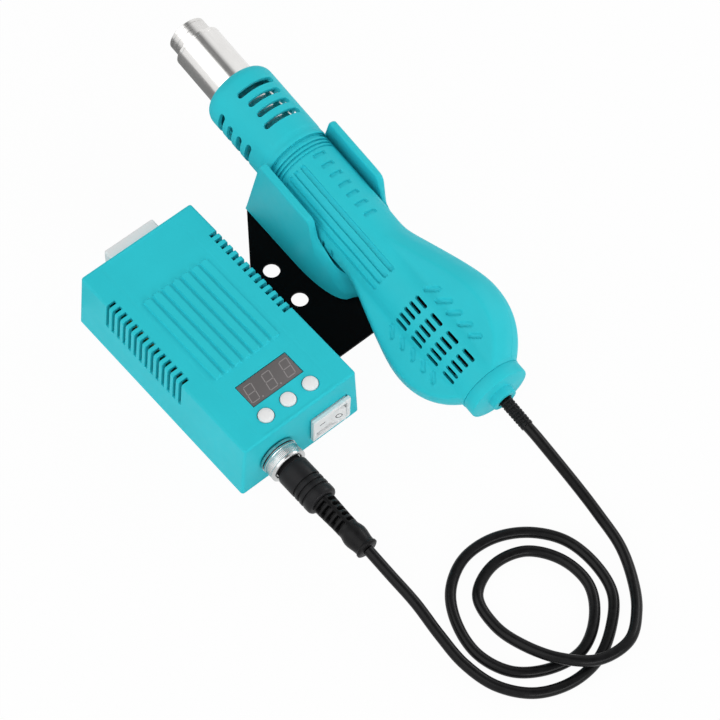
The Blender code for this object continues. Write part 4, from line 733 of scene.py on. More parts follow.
def plan_point(x, y, half, corner, inset):
    """Where a point of the flat grid comes to lie on a rounded rectangle's outline or inside it:
    inside the core it stays, and past it the square corner is drawn into a round one."""
    core = np.array(half) - corner
    over_x = np.maximum(np.abs(x) - core[0], 0.0)
    over_y = np.maximum(np.abs(y) - core[1], 0.0)
    reach = np.maximum(over_x, over_y)
    length = np.maximum(np.hypot(over_x, over_y), 1e-9)
    scale = np.where(reach > 0.0, reach / length * (corner - inset) / corner, 1.0)
    px = np.sign(x) * (np.minimum(np.abs(x), core[0]) + over_x * scale)
    py = np.sign(y) * (np.minimum(np.abs(y), core[1]) + over_y * scale)
    return px, py


def hole_warp(u, v, centre, radius, reach):
    """Draws the square ring of grid points between radius and reach about centre into one whose
    inner edge is a circle of that radius; points outside stay."""
    du = u - centre[0]
    dv = v - centre[1]
    square = np.maximum(np.abs(du), np.abs(dv))
    length = np.maximum(np.hypot(du, dv), 1e-9)
    t = np.clip((square - radius) / (reach - radius), 0.0, 1.0)
    factor = (1.0 - t) * square / length + t
    factor = np.where(square < reach, factor, 1.0)
    return centre[0] + du * factor, centre[1] + dv * factor


def drawn_in(places, start, end, to):
    """Places past start squeezed evenly so that end comes to lie at to, on both sides of zero."""
    past = np.maximum(np.abs(places) - start, 0.0)
    return places - np.sign(places) * past * (end - to) / (end - start)


def case_sheet(xs, ys, zs, half, top, corner, top_round, flare):
    """A box open below: the flat top grid, rings that round over its edge, and rings down the
    sides at heights zs. Returns the points of the top, of the rings, and the outline's order."""
    gx, gy = np.meshgrid(xs, ys, indexing='ij')
    inset_x, inset_y = plan_point(gx, gy, half, corner, top_round)
    top_points = np.stack([inset_x, inset_y, np.full_like(gx, top)], -1)
    nx = len(xs)
    ny = len(ys)
    i = np.concatenate([np.arange(nx - 1), np.full(ny - 1, nx - 1), np.arange(nx - 1, 0, -1),
                        np.zeros(ny - 1, int)])
    j = np.concatenate([np.zeros(nx - 1, int), np.arange(ny - 1), np.full(nx - 1, ny - 1),
                        np.arange(ny - 1, 0, -1)])
    ex = gx[i, j]
    ey = gy[i, j]
    rings = []
    for angle in np.radians((60.0, 30.0, 0.0)):
        inset = top_round * (1.0 - math.cos(angle))
        px, py = plan_point(ex, ey, half, corner, inset)
        level = top - top_round * (1.0 - math.sin(angle))
        rings.append(np.stack([px, py, np.full_like(px, level)], -1))
    px, py = plan_point(ex, ey, half, corner, 0.0)
    for z in zs:
        rings.append(np.stack([px, py, np.full_like(px, z)], -1))
    rings = np.stack(rings)
    spread = 1.0 - rings[..., 2] / CASE_HEIGHT
    rings[..., 0] *= 1.0 + flare[0] / (CASE_WIDTH / 2.0) * spread
    rings[..., 1] *= 1.0 + flare[1] / (CASE_LENGTH / 2.0) * spread
    return top_points, rings, i * ny + j


def rib_height(x, y, settings):
    """Raised bars side by side on the lid: each a rounded bar in plan, with soft shoulders."""
    pitch = settings.rib_pitch / MM
    half = settings.rib_width / MM / 2.0
    middle = 4.0
    reach = 24.6
    nearest = np.clip(np.round(x / pitch), -3, 3)
    away = box_distance(x - nearest * pitch, y - middle, half, reach, 0.9)
    field = box_distance(x, y, 20.4, 53.7, 3.2)
    return settings.rib_height / MM * softened(-away, 0.16) - 0.14 * softened(-field, 0.16)


def case_cover(settings):
    """One moulded cover: a grid whose lines follow every opening, with the cells of the openings
    left out, given its wall by a second sheet inside."""
    pitch = settings.rib_pitch / MM
    half_rib = settings.rib_width / MM / 2.0
    vents = VENT_REAR_Y - VENT_PITCH * np.arange(VENT_COUNT)
    x_stops = [-VENT_INNER_X, VENT_INNER_X]
    for inset in (0.0, 0.35, 0.8, 1.3):
        x_stops += [inset - 30.0, 30.0 - inset]
    for k in range(-3, 4):
        for edge in (-half_rib - 0.17, -half_rib + 0.17, half_rib - 0.17, half_rib + 0.17):
            x_stops.append(k * pitch + edge)
    x_stops += [-WINDOW_HALF[0], WINDOW_HALF[0], 20.2, -20.2, 20.6, -20.6]
    x_stops += [SWITCH_CENTRE[0] - SWITCH_HALF[0], SWITCH_CENTRE[0] + SWITCH_HALF[0]]
    x_stops += [INLET_CENTRE[0] - INLET_HALF[0], INLET_CENTRE[0] + INLET_HALF[0]]
    hole = BUTTON_RADIUS + GAP
    for x in BUTTON_XS:
        x_stops += [x - hole - 1.4, x - hole, x + hole, x + hole + 1.4]
    bore = SOCKET_RADIUS + GAP
    x_stops += [SOCKET_CENTRE[0] - bore - 1.5, SOCKET_CENTRE[0] - bore, SOCKET_CENTRE[0] + bore,
                SOCKET_CENTRE[0] + bore + 1.5]
    y_stops = [-55.0, -54.65, -54.2, -53.7, 53.7, 54.2, 54.65, 55.0, BUTTON_Y - hole - 1.4,
               BUTTON_Y - hole, BUTTON_Y + hole, BUTTON_Y + hole + 1.4,
               WINDOW_Y - WINDOW_HALF[1], WINDOW_Y + WINDOW_HALF[1],
               4.0 - 24.9, 4.0 - 24.3, 4.0 + 24.3, 4.0 + 24.9, 4.0 - 23.6, 4.0 + 23.6]
    y_stops += list(vents - VENT_WIDTH / 2.0) + list(vents + VENT_WIDTH / 2.0)
    z_stops = [0.0, VENT_BOTTOM, CASE_HEIGHT - CASE_TOP_ROUND]
    for centre, half in ((SWITCH_CENTRE, SWITCH_HALF), (INLET_CENTRE, INLET_HALF)):
        z_stops += [centre[1] - half[1], centre[1] + half[1]]
    z_stops += [SOCKET_CENTRE[1] - bore - 1.5, SOCKET_CENTRE[1] - bore, SOCKET_CENTRE[1] + bore,
                SOCKET_CENTRE[1] + bore + 1.5]
    xs = spaced(x_stops, 1.0)
    ys = spaced(y_stops, 1.0)
    zs = spaced(z_stops, 1.2)[::-1][1:]
    half = (CASE_WIDTH / 2.0, CASE_LENGTH / 2.0)
    outer_top, outer_rings, order = case_sheet(xs, ys, zs, half, CASE_HEIGHT, CASE_CORNER,
                                               CASE_TOP_ROUND, CASE_DRAFT)
    inner_half = (half[0] - CASE_WALL, half[1] - CASE_WALL)
    to_x = drawn_in(xs, VENT_INNER_X, half[0], inner_half[0])
    to_y = drawn_in(ys, half[1] - 2.8, half[1], inner_half[1])
    shoulder = INLET_CENTRE[1] + INLET_HALF[1]
    squeeze = (CASE_HEIGHT - CASE_WALL - 0.5 - shoulder) / (zs[0] - shoulder)
    inner_zs = np.where(zs > shoulder, shoulder + (zs - shoulder) * squeeze, zs)
    inner_top, inner_rings, order = case_sheet(to_x, to_y, inner_zs, inner_half,
                                               CASE_HEIGHT - CASE_WALL, 1.0, 0.3, CASE_DRAFT)
    nx = len(xs)
    ny = len(ys)
    mid_x = (xs[1:] + xs[:-1]) / 2.0
    mid_y = (ys[1:] + ys[:-1]) / 2.0
    cell_x, cell_y = np.meshgrid(mid_x, mid_y, indexing='ij')
    in_vent_row = (np.abs(mid_y[:, None] - vents[None, :]) < VENT_WIDTH / 2.0).any(1)
    keep = ~((np.abs(cell_x) > VENT_INNER_X) & in_vent_row[None, :])
    keep &= ~((np.abs(cell_x) < WINDOW_HALF[0]) & (np.abs(cell_y - WINDOW_Y) < WINDOW_HALF[1]))
    for x in BUTTON_XS:
        keep &= np.maximum(np.abs(cell_x - x), np.abs(cell_y - BUTTON_Y)) > hole
    for sheet in (outer_top, inner_top):
        for x in BUTTON_XS:
            sheet[..., 0], sheet[..., 1] = hole_warp(sheet[..., 0], sheet[..., 1], (x, BUTTON_Y),
                                                     hole, hole + 1.4)
    outer_top[..., 2] += rib_height(outer_top[..., 0], outer_top[..., 1], settings)
    for sheet in (outer_rings, inner_rings):
        front = sheet[..., 1] < -52.5
        moved = hole_warp(sheet[..., 0], sheet[..., 2], SOCKET_CENTRE, bore, bore + 1.5)
        sheet[..., 0] = np.where(front, moved[0], sheet[..., 0])
        sheet[..., 2] = np.where(front, moved[1], sheet[..., 2])
    top_quads = grid_faces(nx, ny)[keep.reshape(-1)][:, ::-1]
    loop = len(order)
    ring_start = nx * ny
    after = np.roll(np.arange(loop), -1)
    rim = np.stack([order, ring_start + np.arange(loop), ring_start + after, order[after]], -1)
    side = grid_faces(len(outer_rings), loop, True).reshape(len(outer_rings) - 1, loop, 4)
    edge_x = np.repeat(xs, ny)[order]
    edge_y = np.tile(ys, nx)[order]
    mid_edge_x = (edge_x + edge_x[after]) / 2.0
    mid_edge_y = (edge_y + edge_y[after]) / 2.0
    vented = (np.abs(mid_edge_x) > 29.5) & (
        np.abs(mid_edge_y[:, None] - vents[None, :]) < VENT_WIDTH / 2.0).any(1)
    levels = np.concatenate([[CASE_HEIGHT] * 3, zs])
    mid_z = (levels[1:] + levels[:-1]) / 2.0
    keep_side = ~(vented[None, :] & (mid_z > VENT_BOTTOM)[:, None])
    front = (mid_edge_y < -54.5)[None, :]
    rear = (mid_edge_y > 54.5)[None, :]

    def holed(centre, extent):
        """The cells of a wall inside a rectangle."""
        return ((np.abs(mid_edge_x - centre[0]) < extent[0])[None, :]
                & (np.abs(mid_z - centre[1]) < extent[1])[:, None])

    keep_side &= ~(front & holed(SWITCH_CENTRE, SWITCH_HALF))
    keep_side &= ~(front & holed(SOCKET_CENTRE, (bore, bore)))
    keep_side &= ~(rear & holed(INLET_CENTRE, INLET_HALF))
    quads = np.concatenate([top_quads, rim[~vented], (side + ring_start)[keep_side][:, ::-1]])
    outer = np.concatenate([outer_top.reshape(-1, 3), outer_rings.reshape(-1, 3)])
    inner = np.concatenate([inner_top.reshape(-1, 3), inner_rings.reshape(-1, 3)])
    points, faces = shell_parts(outer, inner, quads)
    cover = mesh_piece("case_cover_shell", points, faces)
    rounded_edges(cover, settings.edge / MM, 2, 55.0)
    return dressed(cover, "teal", "controller", "teal_plastic", "case_cover")


NODE_FINISHES = {}
for finish_name, node_names in {
        "teal": ("handle_upper", "handle_lower", "nozzle_guard", "tail_cap", "cradle"),
        "white": ("button_1", "button_2", "button_3", "rocker", "rocker_frame", "inlet_socket"),
        "black": ("plug_body", "tact_switch_1", "tact_switch_2", "tact_switch_3", "triac"),
        "base": ("case_base",),
        "rubber": ("plug_boot", "strain_relief"),
        "nozzle": ("outer_tube",),
        "sleeve": ("inner_sleeve",),
        "plated": ("lock_ring", "socket", "socket_nut"),
        "pin": ("inlet_pin_earth", "inlet_pin_live", "inlet_pin_neutral"),
        "fastener": ("case_screw_1", "case_screw_2", "case_screw_3", "case_screw_4",
                     "cradle_screw_1", "cradle_screw_2", "handle_screw_1", "handle_screw_2",
                     "handle_screw_3", "handle_screw_4"),
        "bracket": ("bracket",),
        "board": ("control_board", "power_board"),
        "epoxy": ("display_module", "blower_motor"),
        "lens": ("display_lens",),
        "tape": ("transformer",),
        "sleeve_film": ("capacitor",),
        "heatsink": ("heatsink",),
        "ceramic": ("heater_core", "heater_flange"),
        "wire": ("heater_coil", "thermocouple"),
        "magnet": ("cradle_magnet",),
        "glass": ("fuse", "reed_switch"),
}.items():
    for node_name in node_names:
        NODE_FINISHES[node_name] = finish_name
NODE_FINISHES.update({"blower_scroll": "teal", "fan_rotor": "base", "cord": "cord",
                      "case_cover": "teal"})


# Openings in a sheet

def snapped(u, v, keep, distance):
    """Moves the grid points between kept and dropped cells onto the opening's outline, where
    distance is zero; returns how far each point moves in u and in v."""
    rows, columns = u.shape
    dropped = np.zeros((rows, columns), bool)
    kept = np.zeros((rows, columns), bool)
    for di in (0, 1):
        for dj in (0, 1):
            dropped[di:rows - 1 + di, dj:columns - 1 + dj] |= ~keep
            kept[di:rows - 1 + di, dj:columns - 1 + dj] |= keep
    d = distance(u, v)
    tiny = 0.01
    gu = (distance(u + tiny, v) - distance(u - tiny, v)) / (2.0 * tiny)
    gv = (distance(u, v + tiny) - distance(u, v - tiny)) / (2.0 * tiny)
    size = np.maximum(gu * gu + gv * gv, 0.05)
    move = np.where(dropped & kept, -d / size, 0.0)
    return np.clip(move * gu, -0.6, 0.6), np.clip(move * gv, -0.6, 0.6)


def slid(points, u, v, du, dv):
    """Moves points of a surface along itself by du and dv, from the grid's own slopes."""
    along_u = np.gradient(points, axis=1) / np.gradient(u, axis=1)[..., None]
    along_v = np.gradient(points, axis=0) / np.gradient(v, axis=0)[..., None]
    return points + along_u * du[..., None] + along_v * dv[..., None]


def bar_distance(u, v, start, end, radius):
    """Distance to a round-ended bar between two points, negative inside."""
    a = np.array(start, float)
    b = np.array(end, float)
    span = b - a
    t = np.clip(((u - a[0]) * span[0] + (v - a[1]) * span[1]) / (span @ span), 0.0, 1.0)
    return np.hypot(u - a[0] - t * span[0], v - a[1] - t * span[1]) - radius


# Handset shells

def eased(s, stations):
    """Cosine-eased value between stations of (s, value), from front to rear."""
    result = np.full_like(s, stations[-1][1])
    for (s0, v0), (s1, v1) in reversed(list(zip(stations, stations[1:]))):
        t = np.clip((s0 - s) / (s0 - s1), 0.0, 1.0)
        value = v0 + (v1 - v0) * (0.5 - 0.5 * np.cos(np.pi * t))
        result = np.where(s >= s1, value, result)
    return result


def half_width(s):
    """Half the fan housing's width: straight flanks in front of the fan, a round end behind."""
    d = s - FAN_S
    flank = FAN_HALF_WIDTH - FLANK_SLOPE * (np.hypot(d, FLANK_START) - FLANK_START)
    behind = np.clip(-d / FAN_REAR_REACH, 0.0, 0.99)
    rear = FAN_HALF_WIDTH * np.maximum(0.02, 1.0 - behind ** 2.2) ** 0.6
    return np.where(d >= 0.0, flank, rear)


def ridge_radius(s):
    """Radius of the round ridge from the grip through the housing to the tail."""
    return eased(s, [(-20.0, GRIP_RADIUS), (-40.0, GRIP_RADIUS - 0.4), (-85.0, GRIP_RADIUS - 0.2),
                     (SHELL_REAR, TAIL_RADIUS + 0.2)])


def section_radius(s, angle, inset):
    """Distance from the axis to the shell at an angle from the handset's own right: a flat
    housing with chamfered flanks, merged with the round ridge by a power mean; both forms
    shrink by inset."""
    cu = np.abs(np.cos(angle))
    cw = np.abs(np.sin(angle))
    top = np.where(np.sin(angle) > 0.0, FAN_TOP, FAN_BOTTOM) - inset
    wide = half_width(s) - inset
    chamfer = 0.837 * half_width(s) + 3.285 - inset
    power = 26.0
    flat = ((cu / wide) ** power + (cw / top) ** power
            + ((0.837 * cu + 0.548 * cw) / chamfer) ** power) ** (-1.0 / power)
    flat *= 1.0 - 0.10 * np.maximum(0.0, np.sin(angle)) * cu
    ridge = ridge_radius(s) - inset
    blend = 24.0
    return (flat ** blend + ridge ** blend) ** (1.0 / blend)


def shell_rows(side, radii, columns, inset):
    """Points of one half of the handle. Each row is a cross-section; its columns stand at fixed
    distances beside the middle line while they are close to it, and at fixed shares of the
    remaining arc beyond. side is 1 for the upper half and -1 for the lower one."""
    rows = []
    dense = np.linspace(0.0, np.pi / 2.0, 900)
    for s, cap in radii:
        angle = np.pi / 2.0 - dense
        s_line = np.full_like(dense, s)
        if cap is None:
            radius = section_radius(s_line, angle * side, inset)
        else:
            radius = np.full_like(dense, cap - inset)
        u = radius * np.cos(angle)
        w = radius * np.sin(angle)
        arc = np.concatenate([[0.0], np.cumsum(np.hypot(np.diff(u), np.diff(w)))])
        near = np.abs(columns) <= COLUMN_SPLIT
        split_arc = np.interp(COLUMN_SPLIT, u, arc)
        share = (np.abs(columns) - COLUMN_SPLIT) / (COLUMN_END - COLUMN_SPLIT)
        at = np.where(near, np.interp(np.minimum(np.abs(columns), COLUMN_SPLIT), u, arc),
                      split_arc + share * (arc[-1] - split_arc))
        ru = np.interp(at, arc, u) * np.sign(columns)
        rw = np.maximum(np.interp(at, arc, w), 0.07) * side
        rows.append(np.stack([ru, np.full_like(ru, s), rw], -1))
    return np.array(rows)


COLUMN_SPLIT = 9.0
COLUMN_END = 25.0
RING_GROOVES = ((15.8, 1.0, 1.0), (13.25, 0.5, 0.9), (11.3, 0.5, 0.9), (9.4, 0.45, 0.6))
RIM_BACK = 17.0
RIM_SUNK = 0.4
THUMB_MARKS = (6.4, 0.4, -5.4, -11.4, -17.2, -23.1, -29.1)
THUMB_HALF = (3.3, 1.0)
THUMB_ANGLE = math.radians(52.7)
GRIP_GROOVES = (-6.0, -2.15, 1.5, 5.2)
GRIP_GROOVE_HALF = 1.15
GRIP_GROOVE_ENDS = (6.6, -56.4)
FAN_BARS = (((10.0, -72.2), (14.0, -76.1)), ((10.5, -79.6), (14.3, -83.3)),
            ((10.7, -86.7), (14.3, -90.2)), ((10.9, -93.5), (14.3, -96.8)),
            ((11.1, -100.5), (14.1, -103.4)), ((-12.6, -71.9), (-15.8, -75.1)),
            ((-12.8, -79.3), (-15.6, -82.0)), ((-12.5, -86.1), (-15.4, -88.9)),
            ((-12.2, -92.7), (-15.1, -95.6)), ((-12.3, -99.6), (-15.2, -102.4)))
GRILLE_ROWS = tuple(-75.5 - 10.3 * k for k in range(4))
GRILLE_COLUMNS = tuple(3.4 * (k - 2) - 1.2 for k in range(5))
GRILLE_HALF = (0.85, 3.55)
LINE_SOFT = 0.11


def grille_distance(u, s):
    """Distance to the nearest slot of the fan's grille, four rows of five."""
    best = np.full(u.shape, 1e3)
    for row in GRILLE_ROWS:
        for column in GRILLE_COLUMNS:
            best = np.minimum(best, box_distance(u - column, s - row, *GRILLE_HALF, 0.75))
    return best


def handle_relief(u, s, arc, settings):
    """How far the upper half's surface sinks, in millimetres: rings behind the nozzle guard,
    four long finger grooves, a row of thumb marks on each side, and slanting bars on the fan."""
    depth = settings.groove_depth / MM
    sink = ring_relief(s, depth)
    front, rear = GRIP_GROOVE_ENDS
    half = GRIP_GROOVE_HALF
    for middle in GRIP_GROOVES:
        away = bar_distance(u, s, (middle, front - half), (middle, rear + half), half)
        sink = np.maximum(sink, depth * softened(-away, LINE_SOFT))
    centre = THUMB_ANGLE * GRIP_RADIUS
    for mark in THUMB_MARKS:
        away = box_distance(np.abs(arc) - centre, s - mark, *THUMB_HALF, 0.8)
        sink = np.maximum(sink, 0.8 * depth * softened(-away, LINE_SOFT) * (s > -32.0))
    for start, end in FAN_BARS:
        away = bar_distance(u, s, start, end, 0.95)
        sink = np.maximum(sink, 0.75 * depth * softened(-away, 0.16))
    return sink


def ring_relief(s, depth):
    """The turned rings behind the nozzle guard, and the seat that its skirt covers."""
    sink = RIM_SUNK * ((s > RIM_BACK - 0.3) & (s < SHELL_FRONT - 0.04))
    for place, half, share in RING_GROOVES:
        sink = np.maximum(sink, share * depth * softened(half - np.abs(s - place), LINE_SOFT))
    return sink


def handle_half(side, settings):
    """One half of the handle with its wall; the upper half carries the grille and the relief."""
    fine = side > 0
    c_stops = [-COLUMN_END, -COLUMN_SPLIT, COLUMN_SPLIT, COLUMN_END]
    for middle in GRIP_GROOVES:
        for edge in (middle - GRIP_GROOVE_HALF, middle + GRIP_GROOVE_HALF):
            c_stops += [edge - LINE_SOFT, edge + LINE_SOFT]
    for column in GRILLE_COLUMNS:
        c_stops += [column - GRILLE_HALF[0], column + GRILLE_HALF[0]]
    columns = spaced(c_stops if fine else [-COLUMN_END, 0.0, COLUMN_END], 0.30 if fine else 0.55)
    s_stops = [SHELL_REAR, FAN_S, -60.0, 18.6]
    for place, half, _ in RING_GROOVES:
        for edge in (place - half, place + half):
            s_stops += [edge - LINE_SOFT, edge + LINE_SOFT]
    if fine:
        for mark in THUMB_MARKS:
            for edge in (mark - THUMB_HALF[1], mark + THUMB_HALF[1]):
                s_stops += [edge - LINE_SOFT, edge + LINE_SOFT]
        for row in GRILLE_ROWS:
            s_stops += [row - GRILLE_HALF[1], row + GRILLE_HALF[1]]
    lines = spaced(s_stops, 0.66 if fine else 1.1)[::-1]
    collar = [(COLLAR_FRONT, COLLAR_RADIUS), (22.0, COLLAR_RADIUS), (18.75, COLLAR_RADIUS),
              (18.68, GRIP_RADIUS - RIM_SUNK)]
    radii = collar + [(s, None) for s in lines]
    outer = shell_rows(side, radii, columns, 0.0)
    inner_radii = [(s, COLLAR_RADIUS if s > 16.0 else None) for s, _ in radii]
    inner = shell_rows(side, inner_radii, columns, SHELL_WALL)
    s = outer[..., 1]
    u = outer[..., 0]
    c = np.broadcast_to(columns, s.shape)
    arc = GRIP_RADIUS * np.arcsin(np.clip(u / GRIP_RADIUS, -1.0, 1.0))
    if fine:
        sink = handle_relief(u, s, arc, settings)
    else:
        sink = ring_relief(s, settings.groove_depth / MM)
    across = np.gradient(outer, axis=1)
    along = np.gradient(outer, axis=0)
    normal = np.cross(across, along)
    normal /= np.maximum(np.linalg.norm(normal, axis=-1, keepdims=True), 1e-9)
    radial = outer * (1.0, 0.0, 1.0)
    normal *= np.sign((normal * radial).sum(-1, keepdims=True))
    outer = outer - normal * sink[..., None]
    outer[..., 2] = np.maximum(outer[..., 2] * side, 0.07) * side
    keep = np.ones((len(radii) - 1, len(columns) - 1), bool)
    if fine:
        cell_c = (c[1:, 1:] + c[:-1, :-1]) / 2.0
        cell_s = (s[1:, 1:] + s[:-1, :-1]) / 2.0
        keep = grille_distance(cell_c, cell_s) > 0.0
        du, dv = snapped(c, s, keep, grille_distance)
        spacing = np.broadcast_to(s[:, :1], s.shape)
        outer = slid(outer, c, spacing, du, dv)
        inner = slid(inner, c, spacing, du, dv)
    quads = grid_faces(len(radii), len(columns))[keep.reshape(-1)]
    if side > 0:
        quads = quads[:, ::-1]
    return shell_parts(outer.reshape(-1, 3), inner.reshape(-1, 3), quads)


# Nozzle end

GUARD_RADIUS = 16.8
GUARD_BORE = 11.8
GUARD_SLOTS = (31.2, 37.6, 44.0, 50.4)
GUARD_SLOT_HALF = 1.6
GUARD_SLOT_TURNS = (7.0, 102.0, 184.0, 260.0)
GUARD_SLOT_REACHES = (35.0, 31.0, 31.0, 35.0)


def guard_parts():
    """The slotted guard: a turned wall whose slots are round-ended bars on the unrolled face."""
    radius = GUARD_RADIUS
    bore = GUARD_BORE
    inner_radius = radius - 2.0
    centres = [math.radians(90.0 - (turn + AXIS_ROLL)) for turn in GUARD_SLOT_TURNS]
    reaches = np.radians(GUARD_SLOT_REACHES)
    slot_half = GUARD_SLOT_HALF
    stops = [RIM_BACK, RIM_BACK + 0.3, 19.0, 19.04, 22.6, 56.5]
    for s in GUARD_SLOTS:
        stops += [s - slot_half, s + slot_half]
    lines = spaced(stops, 0.45)
    count = 300
    turn = np.linspace(0.0, 2.0 * np.pi, count + 1)
    angle, s = np.meshgrid(turn, lines)

    def distance(a, at):
        """Signed distance to the nearest slot's edge, negative inside a slot."""
        best = np.full(a.shape, 1e3)
        for k, slot in enumerate(GUARD_SLOTS):
            for centre in centres:
                away = (a / radius - centre + np.pi) % (2.0 * np.pi) - np.pi
                arc = radius * away
                half = radius * reaches[k] - slot_half
                best = np.minimum(best, np.hypot(np.maximum(np.abs(arc) - half, 0.0),
                                                 at - slot) - slot_half)
        return best

    arc = angle * radius
    mid_arc = (arc[1:, 1:] + arc[:-1, :-1]) / 2.0
    mid_s = (s[1:, 1:] + s[:-1, :-1]) / 2.0
    keep = distance(mid_arc, mid_s) > 0.0
    du, dv = snapped(arc, s, keep, distance)
    angle = (arc + du) / radius
    s = s + dv
    swell = (radius - 0.2 * np.clip((RIM_BACK + 0.3 - s) / 0.3, 0.0, 1.0)
             - 0.16 * softened(1.3 - np.abs(s - 20.5), 0.5))
    inner_radius = np.where(s < 19.02, radius - 0.6, inner_radius)
    outer = np.stack([swell * np.cos(angle), s, swell * np.sin(angle)], -1)[:, :-1]
    inner = np.stack([inner_radius * np.cos(angle), s, inner_radius * np.sin(angle)], -1)[:, :-1]
    nose = np.radians(np.linspace(0.0, 90.0, 13))[1:]
    turn = turn[:-1]
    depth = radius - bore - 0.4
    nose_radius = radius - depth * (1.0 - np.cos(nose))
    nose_s = 56.5 + 5.5 * np.sin(nose)
    inner_nose = np.maximum(nose_radius - 1.9, bore)
    inner_s = 56.5 + 3.6 * np.sin(nose)
    extra_outer = np.stack([nose_radius[:, None] * np.cos(turn), nose_s[:, None] + 0.0 * turn,
                            nose_radius[:, None] * np.sin(turn)], -1)
    extra_inner = np.stack([inner_nose[:, None] * np.cos(turn), inner_s[:, None] + 0.0 * turn,
                            inner_nose[:, None] * np.sin(turn)], -1)
    last = np.stack([bore * np.cos(turn), 62.0 + 0.0 * turn, bore * np.sin(turn)], -1)[None]
    last_inner = np.stack([bore * np.cos(turn), 60.3 + 0.0 * turn, bore * np.sin(turn)], -1)[None]
    outer = np.concatenate([outer, extra_outer, last])
    inner = np.concatenate([inner, extra_inner, last_inner])
    full = np.ones((len(outer) - 1, count), bool)
    full[:len(keep)] = keep
    quads = grid_faces(len(outer), count, True)[full.reshape(-1)]
    return shell_parts(outer.reshape(-1, 3), inner.reshape(-1, 3), quads)


def nozzle_guard():
    """The guard as a piece, its edges lightly rounded."""
    points, faces = guard_parts()
    guard = mesh_piece("nozzle_guard_shell", points, faces, 40.0, HANDSET)
    rounded_edges(guard, 0.25, 2, 55.0)
    return dressed(guard, "teal", "handset", "teal_plastic", "nozzle_guard")


def tube_profile(front, rear, radius, wall, rings=(), lip=0.15):
    """Radius and height down a thin tube: out along the wall, with shallow turned rings."""
    outer = [(radius - lip, front), (radius, front - lip)]
    for place, width, depth in rings:
        outer += [(radius, place + width / 2.0 + 0.12), (radius - depth, place + width / 2.0),
                  (radius - depth, place - width / 2.0), (radius, place - width / 2.0 - 0.12)]
    outer += [(radius, rear)]
    inner = [(radius - wall, rear), (radius - wall, front - lip), (radius - wall + lip, front)]
    return outer + inner + [outer[0]]


def nozzle_tubes():
    """The two steel tubes, one inside the other."""
    points, faces = lathe_parts(tube_profile(89.7, 22.3, 11.5, 0.8,
                                             ((87.9, 0.3, 0.18),)), 160)
    tube = mesh_piece("nozzle_outer_tube", points, faces, 30.0, HANDSET)
    dressed(tube, "nozzle", "handset", "nozzle_steel", "outer_tube")
    rings = ((96.2, 0.35, 0.2), (93.4, 0.3, 0.12))
    points, faces = lathe_parts(tube_profile(98.0, 22.3, 9.3, 0.8, rings), 160)
    sleeve = mesh_piece("nozzle_inner_sleeve", points, faces, 30.0, HANDSET)
    dressed(sleeve, "sleeve", "handset", "nozzle_steel", "inner_sleeve")


def tail_cap():
    """The turned end cap: a broad disc with a soft rim, a boss, and the cable's bore."""
    rim = TAIL_RADIUS
    profile = [(3.35, -113.7), (10.7, -113.7), (10.7, -117.75), (rim - 0.15, -117.75),
               (rim, -117.95), (rim, -123.0), (rim - 0.2, -123.5), (rim - 0.6, -123.7),
               (6.5, -123.7), (6.1, -123.8), (5.9, -124.2), (5.9, -127.0), (5.7, -127.4),
               (5.3, -127.5), (3.6, -127.5), (3.35, -127.3), (3.35, -113.7)]
    points, faces = lathe_parts(profile[::-1], 128)
    cap = mesh_piece("tail_end_cap", points, faces, 40.0, HANDSET)
    return dressed(cap, "teal", "handset", "teal_plastic", "tail_cap")


def strain_relief():
    """The cable's ribbed sleeve: brick-like lugs stand in rings that step by half a lug."""
    s = np.linspace(-113.8, RELIEF_END, 150)
    turn = np.linspace(0.0, 2.0 * np.pi, 96, endpoint=False)
    a, at = np.meshgrid(turn, s)
    base = 3.05 + (2.80 - 3.05) * (at + 113.8) / (RELIEF_END + 113.8)
    row = (at + 127.9) / 1.55
    ring = np.floor(row)
    in_ring = np.abs(row - ring - 0.5)
    around = (a / (2.0 * np.pi) * 6.0 + 0.5 * (ring % 2.0)) % 1.0
    in_lug = np.abs(around - 0.5)
    lug = softened(0.36 - in_ring, 0.10) * softened(0.36 - in_lug, 0.07)
    free = (at < -127.9).astype(float) * (at > RELIEF_END + 1.2)
    radius = base - 0.42 * free * (1.0 - lug)
    points = np.stack([radius * np.sin(a), at, radius * np.cos(a)], -1).reshape(-1, 3)
    quads = grid_faces(len(s), len(turn), True)[:, ::-1]
    k = np.arange(len(turn))
    ends = [k[None, :], (k[::-1] + (len(s) - 1) * len(turn))[None, :]]
    relief = mesh_piece("cable_strain_relief", points, [quads] + ends, 50.0, HANDSET)
    return dressed(relief, "rubber", "handset", "black_rubber", "strain_relief")


# Connector, plug and boot

def skin_parts(s, turn, radius, centre):
    """A closed turned skin about a line along Y through centre: radius is a grid over places s
    along the line and angles turn; both ends are closed flat."""
    along = np.broadcast_to(np.asarray(s, float)[:, None], radius.shape)
    points = np.stack([centre[0] + radius * np.sin(turn), along,
                       centre[1] + radius * np.cos(turn)], -1)
    rows, count = radius.shape
    k = np.arange(count)
    faces = [grid_faces(rows, count, True), k[::-1][None, :], (k + (rows - 1) * count)[None, :]]
    return points.reshape(-1, 3), faces


